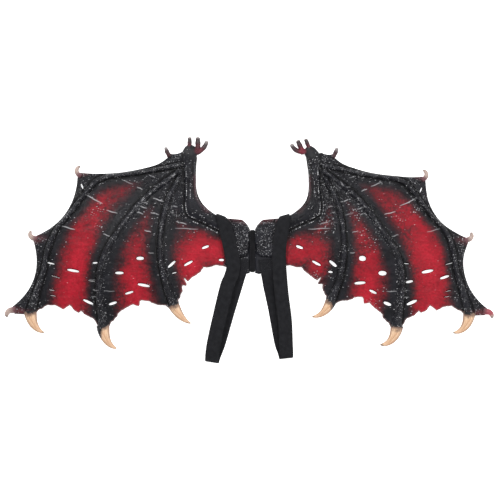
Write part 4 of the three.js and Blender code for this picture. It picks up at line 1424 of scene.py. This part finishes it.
def cast_grain_group():
    """Grain of painted cast foam, on object coordinates: pebbles, pale flecks that are partly silver paint
    and partly painted glints, and drifting tone
    """
    tree, given, put = new_group(
        "cast_grain",
        {"Pebbles": 520.0, "Drift": 34.0, "Flecks": 0.3},
        ["Height", "Fleck", "Blot", "Tone", "Mottle"],
    )
    place = add_node(tree, "ShaderNodeTexCoord").outputs["Object"]
    pebble = add_node(tree, "ShaderNodeTexVoronoi", {
        "Vector": place, "Scale": given.outputs["Pebbles"], "Randomness": 0.9,
    }, feature="F1")
    dome = fade(tree, pebble.outputs["Distance"], 0.0, 0.62, 1.0, 0.0)
    fine = add_node(tree, "ShaderNodeTexNoise", {
        "Vector": place, "Scale": 2600.0, "Detail": 3.0, "Roughness": 0.6,
    })
    broad = add_node(tree, "ShaderNodeTexNoise", {
        "Vector": place, "Scale": given.outputs["Drift"], "Detail": 5.0, "Roughness": 0.62,
    })
    mottle = add_node(tree, "ShaderNodeTexNoise", {
        "Vector": place, "Scale": 230.0, "Detail": 4.0, "Roughness": 0.6,
    })
    height = calculate(tree, "ADD", dome, calculate(tree, "MULTIPLY", fine.outputs[0], 0.45))
    drawn_out = add_node(tree, "ShaderNodeMapping", {
        "Vector": place, "Rotation": (0, 0, 0.12), "Scale": (0.34, 1, 1),
    })
    fleck_cells = add_node(tree, "ShaderNodeTexVoronoi", {
        "Vector": drawn_out.outputs[0], "Scale": 640.0, "Randomness": 1.0,
    }, feature="F1")
    chances = add_node(tree, "ShaderNodeSeparateColor", {"Color": fleck_cells.outputs["Color"]}).outputs
    wanted = calculate(tree, "MULTIPLY", given.outputs["Flecks"], 0.62)
    picked = fade(tree, calculate(tree, "ADD", chances[0], wanted), 0.97, 1.03)
    spot = fade(tree, fleck_cells.outputs["Distance"], 0.14, 0.4, 1.0, 0.0)
    strength = fade(tree, chances[1], 0.1, 0.8, 0.25, 1.0)
    fleck = calculate(tree, "MULTIPLY", calculate(tree, "MULTIPLY", picked, spot), strength)
    blot = calculate(tree, "MULTIPLY", fade(tree, chances[2], 0.975, 0.985), spot)
    height = calculate(tree, "ADD", height, calculate(tree, "MULTIPLY", fleck, 0.8))
    tree.links.new(height, put.inputs["Height"])
    tree.links.new(fleck, put.inputs["Fleck"])
    tree.links.new(blot, put.inputs["Blot"])
    tree.links.new(broad.outputs[0], put.inputs["Tone"])
    tree.links.new(mottle.outputs[0], put.inputs["Mottle"])
    return tree


def woven_ribs_group():
    """Weave on the "weave" attribute, in millimetres: lengthwise ribs crossed by fine picks"""
    tree, given, put = new_group("woven_ribs", {"Rib Pitch": 1.25, "Pick Pitch": 0.85}, ["Height", "Shade"])
    place = add_node(tree, "ShaderNodeSeparateXYZ", {0: read(tree, "weave", "Vector")})
    full_turn = 2 * math.pi
    ribs = calculate(tree, "DIVIDE", place.outputs[0], given.outputs["Rib Pitch"])
    picks = calculate(tree, "DIVIDE", place.outputs[1], given.outputs["Pick Pitch"])
    across = calculate(tree, "MULTIPLY", ribs, full_turn)
    along = calculate(tree, "MULTIPLY", picks, full_turn)
    rib = calculate(tree, "ABSOLUTE", calculate(tree, "SINE", calculate(tree, "MULTIPLY", across, 0.5)))
    pick = calculate(tree, "SINE", calculate(tree, "ADD", along, calculate(tree, "MULTIPLY", across, 0.5)))
    height = calculate(tree, "ADD", rib, calculate(tree, "MULTIPLY", pick, 0.3))
    fuzz = add_node(tree, "ShaderNodeTexNoise", {
        "Vector": read(tree, "weave", "Vector"), "Scale": 0.12, "Detail": 2.0,
    })
    shade = calculate(tree, "MULTIPLY", fade(tree, height, 0.0, 1.2, 0.35, 1.0), fuzz.outputs[0])
    tree.links.new(height, put.inputs["Height"])
    tree.links.new(shade, put.inputs["Shade"])
    return tree


CAST_GRAIN = cast_grain_group()
WOVEN_RIBS = woven_ribs_group()


def new_material(name):
    material = bpy.data.materials.new(name)
    material.use_nodes = True
    tree = material.node_tree
    tree.nodes.clear()
    shader = tree.nodes.new("ShaderNodeBsdfPrincipled")
    add_node(tree, "ShaderNodeOutputMaterial", {"Surface": shader.outputs[0]})
    return material, tree, shader


def place_group(tree, group, values):
    return add_node(tree, "ShaderNodeGroup", values, node_tree=group).outputs


def add_bump(tree, shader, height, distance, strength=1.0):
    bump = add_node(tree, "ShaderNodeBump", {"Height": height, "Distance": distance, "Strength": strength})
    tree.links.new(bump.outputs[0], shader.inputs["Normal"])


BLACK = (0.0065, 0.0065, 0.0095, 1)
CHARCOAL = (0.016, 0.0165, 0.023, 1)
# Near-black for inked blots and lines, and for the painted shade in creases
INK_AND_SHADE = (0.002, 0.002, 0.0025, 1)
MAROON = (0.12, 0.012, 0.018, 1)
FLESH = (0.17, 0.045, 0.055, 1)
CRIMSON = (0.22, 0.016, 0.034, 1)
ROSE = (0.38, 0.026, 0.06, 1)
RED = (0.49, 0.008, 0.024, 1)
BRIGHT_RED = (0.70, 0.013, 0.037, 1)
# Silver paint, which also paints in highlights and glints
SILVER = (0.88, 0.88, 0.91, 1)
PALE_TEAR = (0.42, 0.27, 0.26, 1)


def wing_paint():
    """Black semi-gloss casting with red airbrushed into the webs, creases painted near-black (partly inked
    lines, partly painted shade), and silver on flecks, wrinkles and ridges that is partly dry brush and
    partly painted highlight
    """
    material, tree, shader = new_material("wing_paint")
    grain = place_group(tree, CAST_GRAIN, {"Pebbles": 560.0, "Drift": 38.0, "Flecks": read(tree, "glint")})
    tone = grain["Tone"]
    black = mix_colour(tree, fade(tree, tone, 0.35, 0.7), BLACK, CHARCOAL)
    sprayed_red = read(tree, "red")
    drift = fade(tree, tone, 0.25, 0.75, -0.17, 0.15)
    mottle = fade(tree, grain["Mottle"], 0.3, 0.7, -0.17, 0.12)
    uneven = calculate(tree, "ADD", drift, mottle)
    uneven = calculate(tree, "MULTIPLY", uneven, fade(tree, sprayed_red, 0.0, 0.7, 0.3, 1.0))
    red = calculate(tree, "ADD", sprayed_red, uneven)
    colour = mix_colour(tree, read(tree, "tint"), black, FLESH)
    colour = mix_colour(tree, fade(tree, red, 0.04, 0.48), colour, MAROON)
    colour = mix_colour(tree, fade(tree, red, 0.28, 0.83), colour, RED)
    colour = mix_colour(tree, fade(tree, red, 0.75, 1.12), colour, BRIGHT_RED)
    colour = mix_colour(tree, calculate(tree, "MULTIPLY", grain["Blot"], 0.8), colour, INK_AND_SHADE)
    # Creases painted near-black: partly inked lines, partly painted shade
    colour = mix_colour(tree, calculate(tree, "MULTIPLY", read(tree, "crease"), 0.96), colour, INK_AND_SHADE)
    # Silver flecks: partly silver paint, partly painted glints
    fleck = calculate(tree, "MULTIPLY", grain["Fleck"], fade(tree, red, 0.2, 0.8, 0.9, 0.6))
    colour = mix_colour(tree, fleck, colour, SILVER)
    # Painted highlight on the wrinkle crests
    colour = mix_colour(tree, calculate(tree, "MULTIPLY", read(tree, "dash"), 0.8), colour, SILVER)
    # Silver along the bone crests: painted highlight, partly dry brush
    raised = fade(tree, grain["Height"], 0.5, 0.85, 0.03, 1.1)
    dry_brush_and_highlight = calculate(tree, "MULTIPLY", read(tree, "crest"), raised)
    colour = mix_colour(tree, dry_brush_and_highlight, colour, SILVER)
    colour = mix_colour(tree, calculate(tree, "MULTIPLY", read(tree, "torn"), 0.55), colour, PALE_TEAR)
    colour = mix_colour(tree, read(tree, "front"), CHARCOAL, colour)
    tree.links.new(colour, shader.inputs["Base Color"])
    matt_red = fade(tree, red, 0.1, 0.7, 0.0, 0.08)
    roughness = calculate(tree, "ADD", fade(tree, tone, 0.2, 0.8, 0.30, 0.46), matt_red)
    tree.links.new(roughness, shader.inputs["Roughness"])
    shader.inputs["Specular IOR Level"].default_value = 0.23
    add_bump(tree, shader, grain["Height"], 0.0006, 0.85)
    return material


def scale_paint(name, silver_from, silver_to, bare):
    """Black gloss scales, some of them silver on the crown: partly dry brush, partly a painted highlight"""
    material, tree, shader = new_material(name)
    grain = place_group(tree, CAST_GRAIN, {"Pebbles": 1500.0, "Drift": 60.0, "Flecks": 0.0})
    favoured = calculate(tree, "MULTIPLY", read(tree, "glint"), 0.25)
    luck = calculate(tree, "ADD", read(tree, "speck"), favoured)
    brushed_and_lit = calculate(tree, "ADD", read(tree, "crown"), fade(tree, grain["Height"], 0.2, 1.2, -0.5, 0.3))
    picked = fade(tree, luck, silver_from, silver_to)
    silver = calculate(tree, "MULTIPLY", picked, fade(tree, brushed_and_lit, bare, bare + 0.6))
    black = mix_colour(tree, fade(tree, grain["Tone"], 0.35, 0.7), BLACK, CHARCOAL)
    colour = mix_colour(tree, calculate(tree, "MULTIPLY", silver, 0.8), black, SILVER)
    tree.links.new(colour, shader.inputs["Base Color"])
    tree.links.new(fade(tree, grain["Tone"], 0.2, 0.8, 0.2, 0.36), shader.inputs["Roughness"])
    shader.inputs["Specular IOR Level"].default_value = 0.4
    add_bump(tree, shader, grain["Height"], 0.00012, 0.4)
    return material


def horn_paint(
    name, tip_colour, body_colour, side_shade_colour, root_colour, ink_from, ink_to, body_to, end, blush_colour,
):
    """Cast horn: inked root with silver flecks that are partly wear and partly painted glints, tinted body
    with lengthwise streaks, and painted shade on its sides
    """
    material, tree, shader = new_material(name)
    grain = place_group(tree, CAST_GRAIN, {"Pebbles": 620.0, "Drift": 90.0, "Flecks": 0.25})
    round_it = read(tree, "round_it", "Vector")
    stretch = add_node(tree, "ShaderNodeMapping", {"Vector": round_it, "Scale": (3.2, 3.2, 0.9)})
    streak = add_node(tree, "ShaderNodeTexNoise", {
        "Vector": stretch.outputs[0], "Scale": 2.4, "Detail": 5.0, "Roughness": 0.65,
    }).outputs[0]
    reach = calculate(tree, "ADD", read(tree, "reach"), fade(tree, grain["Tone"], 0.3, 0.7, -0.07, 0.07))
    aside = calculate(tree, "ABSOLUTE", add_node(tree, "ShaderNodeSeparateXYZ", {0: round_it}).outputs[0])
    # Painted shade on the horn's sides
    flank_shade = fade(tree, aside, 0.5, 1.0, 0.0, 0.85)
    dark_streak = fade(tree, streak, 0.44, 0.34, 0.0, 0.4)
    shaded = calculate(tree, "ADD", flank_shade, dark_streak)
    body = mix_colour(tree, fade(tree, streak, 0.42, 0.58), body_colour, tip_colour)
    body = mix_colour(tree, shaded, body, side_shade_colour)
    colour = mix_colour(tree, fade(tree, reach, ink_to, body_to), root_colour, body)
    inked = fade(tree, reach, ink_to, ink_from)
    # Silver flecks on the inked root: partly wear, partly painted glints
    worn_and_glint_black = mix_colour(tree, calculate(tree, "MULTIPLY", grain["Fleck"], 0.8), BLACK, SILVER)
    colour = mix_colour(tree, inked, colour, worn_and_glint_black)
    colour = mix_colour(tree, fade(tree, reach, end.start, 1.0, 0.0, end.share), colour, end.colour)
    colour = mix_colour(tree, read(tree, "blush"), colour, blush_colour)
    tree.links.new(colour, shader.inputs["Base Color"])
    tree.links.new(fade(tree, streak, 0.3, 0.7, 0.36, 0.52), shader.inputs["Roughness"])
    shader.inputs["Specular IOR Level"].default_value = 0.35
    pebbles = calculate(tree, "MULTIPLY", grain["Height"], fade(tree, inked, 0.0, 1.0, 0.12, 0.8))
    add_bump(tree, shader, calculate(tree, "ADD", streak, pebbles), 0.0006, 0.7)
    return material


def webbing_cloth(name, light, dark, rib_pitch, pick_pitch):
    """Black woven cloth with painted shade between its ribs. The pitches are in millimetres."""
    material, tree, shader = new_material(name)
    weave = place_group(tree, WOVEN_RIBS, {"Rib Pitch": rib_pitch, "Pick Pitch": pick_pitch})
    # Painted shade between the ribs, with random fuzz
    tree.links.new(mix_colour(tree, weave["Shade"], dark, light), shader.inputs["Base Color"])
    tree.links.new(fade(tree, weave["Shade"], 0.1, 0.7, 0.92, 0.72), shader.inputs["Roughness"])
    shader.inputs["Specular IOR Level"].default_value = 0.2
    add_bump(tree, shader, weave["Height"], 0.00022, 0.7)
    return material


def thread_black():
    material, tree, shader = new_material("thread_black")
    twist = add_node(tree, "ShaderNodeTexNoise", {
        "Vector": add_node(tree, "ShaderNodeTexCoord").outputs["Object"], "Scale": 1800.0,
    })
    tree.links.new(mix_colour(tree, twist.outputs[0], BLACK, CHARCOAL), shader.inputs["Base Color"])
    shader.inputs["Roughness"].default_value = 0.7
    return material


def floor_paper():
    material, tree, shader = new_material("floor_paper")
    grain = add_node(tree, "ShaderNodeTexNoise", {
        "Vector": add_node(tree, "ShaderNodeTexCoord").outputs["Object"], "Scale": 3.0,
    })
    paper = mix_colour(tree, grain.outputs[0], (0.90, 0.90, 0.90, 1), (0.92, 0.92, 0.92, 1))
    tree.links.new(paper, shader.inputs["Base Color"])
    shader.inputs["Roughness"].default_value = 0.9
    shader.inputs["Specular IOR Level"].default_value = 0.1
    shader.inputs["Emission Color"].default_value = (1, 1, 1, 1)
    shader.inputs["Emission Strength"].default_value = 0.95
    return material


def give(piece, material, node_names=()):
    """Paints a piece, sets it on the root body and hides the CAD nodes it stands for"""
    piece.data.materials.clear()
    piece.data.materials.append(material)
    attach(piece, "root")
    if node_names:
        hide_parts(*node_names)


# The finished pieces
WING_PAINT = wing_paint()
# Silver on scale and bead crowns is partly a painted highlight
SCALE_PAINT = scale_paint("scale_paint", silver_from=0.7, silver_to=1.0, bare=0.2)
BEAD_PAINT = scale_paint("bead_paint", silver_from=0.22, silver_to=0.85, bare=-0.05)
DARK_END = SimpleNamespace(colour=(0.10, 0.075, 0.07, 1), start=0.86, share=0.75)
SPUR_END = SimpleNamespace(colour=(0.46, 0.43, 0.43, 1), start=0.5, share=1)
HOOK_END = SimpleNamespace(colour=(0.13, 0.085, 0.08, 1), start=0.7, share=0.8)
PALE_END = SimpleNamespace(colour=(0.44, 0.40, 0.39, 1), start=0.72, share=0.85)
CLAW_PAINT = horn_paint(
    "claw_paint",
    tip_colour=(0.92, 0.67, 0.46, 1), body_colour=(0.74, 0.43, 0.25, 1),
    side_shade_colour=(0.25, 0.14, 0.10, 1), root_colour=(0.26, 0.16, 0.115, 1),
    ink_from=-0.07, ink_to=0.01, body_to=0.16, end=DARK_END, blush_colour=CRIMSON,
)
HOOK_PAINT = horn_paint(
    "hook_paint",
    tip_colour=(0.62, 0.50, 0.43, 1), body_colour=(0.48, 0.36, 0.32, 1),
    side_shade_colour=(0.33, 0.22, 0.21, 1), root_colour=(0.15, 0.06, 0.07, 1),
    ink_from=-0.6, ink_to=-0.1, body_to=0.46, end=HOOK_END, blush_colour=ROSE,
)
SPUR_PAINT = horn_paint(
    "spur_paint",
    tip_colour=(0.09, 0.06, 0.065, 1), body_colour=(0.055, 0.03, 0.034, 1),
    side_shade_colour=(0.04, 0.02, 0.023, 1), root_colour=(0.05, 0.016, 0.02, 1),
    ink_from=-0.2, ink_to=0.02, body_to=0.55, end=SPUR_END, blush_colour=CRIMSON,
)
HAND_PAINT = horn_paint(
    "hand_paint",
    tip_colour=(0.06, 0.045, 0.048, 1), body_colour=(0.04, 0.022, 0.026, 1),
    side_shade_colour=(0.03, 0.012, 0.015, 1), root_colour=(0.085, 0.018, 0.026, 1),
    ink_from=0.04, ink_to=0.24, body_to=0.62, end=PALE_END, blush_colour=CRIMSON,
)
ELASTIC = webbing_cloth(
    "elastic",
    light=(0.0235, 0.024, 0.028, 1), dark=(0.007, 0.007, 0.0087, 1), rib_pitch=1.25, pick_pitch=0.85,
)
STRIP_CLOTH = webbing_cloth(
    "strip_cloth",
    light=(0.013, 0.013, 0.0155, 1), dark=(0.0055, 0.0055, 0.0065, 1), rib_pitch=0.7, pick_pitch=0.7,
)
THREAD = thread_black()
SCALE_FIELD = scale_field_tree()
BEAD_ROW = bead_row_tree()


def arm_ridge_lines(side):
    """Lines of beads: on both lips of the arm's crease from the elbow to the strap, and up the arm"""
    lines = []
    for row in BEAD_ROWS:
        out, up = ARM_EDGE_LINE[:, 0], ARM_EDGE_LINE[:, 1]
        chosen = (up > row.low) & (up < row.high) & (out > BEAD_LINE.root)
        line = resample(ARM_EDGE_LINE[chosen, :2], BEAD_LINE.step)
        ahead = np.gradient(line[:, :2], axis=0)
        ahead /= np.linalg.norm(ahead, axis=1, keepdims=True)
        flat = line[:, :2] + row.offset * np.column_stack([-ahead[:, 1], ahead[:, 0]])
        edge_gap = np.full(len(flat), BEAD_LINE.edge_gap)
        rise = wing_fields(side, flat, edge_gap, np.full(len(flat), PLAIN_EDGE))[1]
        lines.append(np.column_stack([lay_on_wing(side, flat), rise]))
    return lines


def of_side(side, *names):
    """Names of CAD nodes on one side"""
    return [f"{side.name}_{name}" for name in names]


for side in SIDES:
    skin = wing_skin(side)
    scales = grow(f"{side.name}_scales", skin.data, SCALE_FIELD, {
        **SCALE, "Seed": side.seed, "Material": SCALE_PAINT,
    })
    ridges = path_mesh("ridge_lines", arm_ridge_lines(side))
    beads = grow(f"{side.name}_ridge_beads", ridges, BEAD_ROW, {
        **BEAD, "Seed": side.seed, "Material": BEAD_PAINT,
    })
    give(skin, WING_PAINT, of_side(side, "membrane", *BONES, "root_plate"))
    give(scales, SCALE_PAINT)
    give(beads, BEAD_PAINT)
    give(hand_cast(side), HAND_PAINT, of_side(side, "hand"))
    for row in HOOKS[side.name]:
        form, paint = (SPUR_FORM, SPUR_PAINT) if row.name == "spur" else (HOOK_FORM, HOOK_PAINT)
        give(edge_horn(side, row, form), paint, of_side(side, row.name))
    for row in CLAWS[side.name]:
        claw = edge_horn(side, row, CLAW_FORM, FLUTE.claw_depth)
        give(claw, CLAW_PAINT, of_side(side, row.name))
    strap, strap_length = strap_webbing(side)
    give(strap, ELASTIC, of_side(side, "strap"))
    sewing = path_mesh("sewn_lines", sewn_box(side))
    stitches = grow(f"{side.name}_strap_stitches", sewing, BEAD_ROW, {**STITCH, "Material": THREAD})
    give(stitches, THREAD)

give(centre_band(), STRIP_CLOTH, ["centre_strip"])
seam_marks = np.linspace(STRIP.bottom + SEAM.margin, STRIP.top - SEAM.margin, SEAM.points)
seams = [[(aside, up, SEAM.rise) for up in seam_marks] for aside in (-SEAM.aside, SEAM.aside)]
seam_mesh = path_mesh("strip_seams", seams)
strip_stitches = grow("strip_stitches", seam_mesh, BEAD_ROW, {**STITCH, "Material": THREAD})
give(strip_stitches, THREAD)

# Floor with its backdrop, light and camera
FLOOR_HALF = 30
BACKDROP_HEIGHT = 6
STUDIO_LIGHT = 0.18
LIGHTS = table("name place size power", [
    ("key", (-0.9, 1.0, 1.8), 0.5, 26),
    ("fill", (1.3, -0.2, 1.8), 1.2, 16),
    ("glint_lamp", (0.5, 0.7, 2.3), 0.16, 14),
])
VIEW_CENTRE = (-0.0043, 0.0009)
VIEW_WIDTH = 0.895
VIEW_RISE = 0.006
LENS = 100

floor_corners = [
    (x * FLOOR_HALF, y * FLOOR_HALF, height)
    for height in (0, BACKDROP_HEIGHT)
    for x, y in ((-1, -1), (1, -1), (1, 1), (-1, 1))
]
backdrop_faces = [(i, i + 4, (i + 1) % 4 + 4, (i + 1) % 4) for i in range(4)]
floor_mesh = bpy.data.meshes.new("floor")
floor_mesh.from_pydata(floor_corners, [], [(0, 1, 2, 3)] + backdrop_faces)
floor = bpy.data.objects.new("floor", floor_mesh)
floor.data.materials.append(floor_paper())
bpy.context.scene.collection.objects.link(floor)

for row in LIGHTS:
    lamp = bpy.data.lights.new(row.name, "AREA")
    lamp.shape = "DISK"
    lamp.size = row.size
    lamp.energy = row.power
    light = bpy.data.objects.new(row.name, lamp)
    light.location = row.place
    light.rotation_euler = (-Vector(row.place)).to_track_quat("-Z", "Y").to_euler()
    bpy.context.scene.collection.objects.link(light)

world = bpy.data.worlds.new("studio")
world.use_nodes = True
background = world.node_tree.nodes["Background"]
background.inputs["Color"].default_value = (1, 1, 1, 1)
background.inputs["Strength"].default_value = STUDIO_LIGHT
bpy.context.scene.world = world
bpy.context.scene.view_settings.view_transform = "Standard"

camera_data = bpy.data.cameras.new("camera")
camera_data.lens = LENS
camera_data.clip_end = 50
camera = bpy.data.objects.new("camera", camera_data)
camera.location = (*VIEW_CENTRE, VIEW_WIDTH * LENS / camera_data.sensor_width + VIEW_RISE)
bpy.context.scene.collection.objects.link(camera)
bpy.context.scene.camera = camera
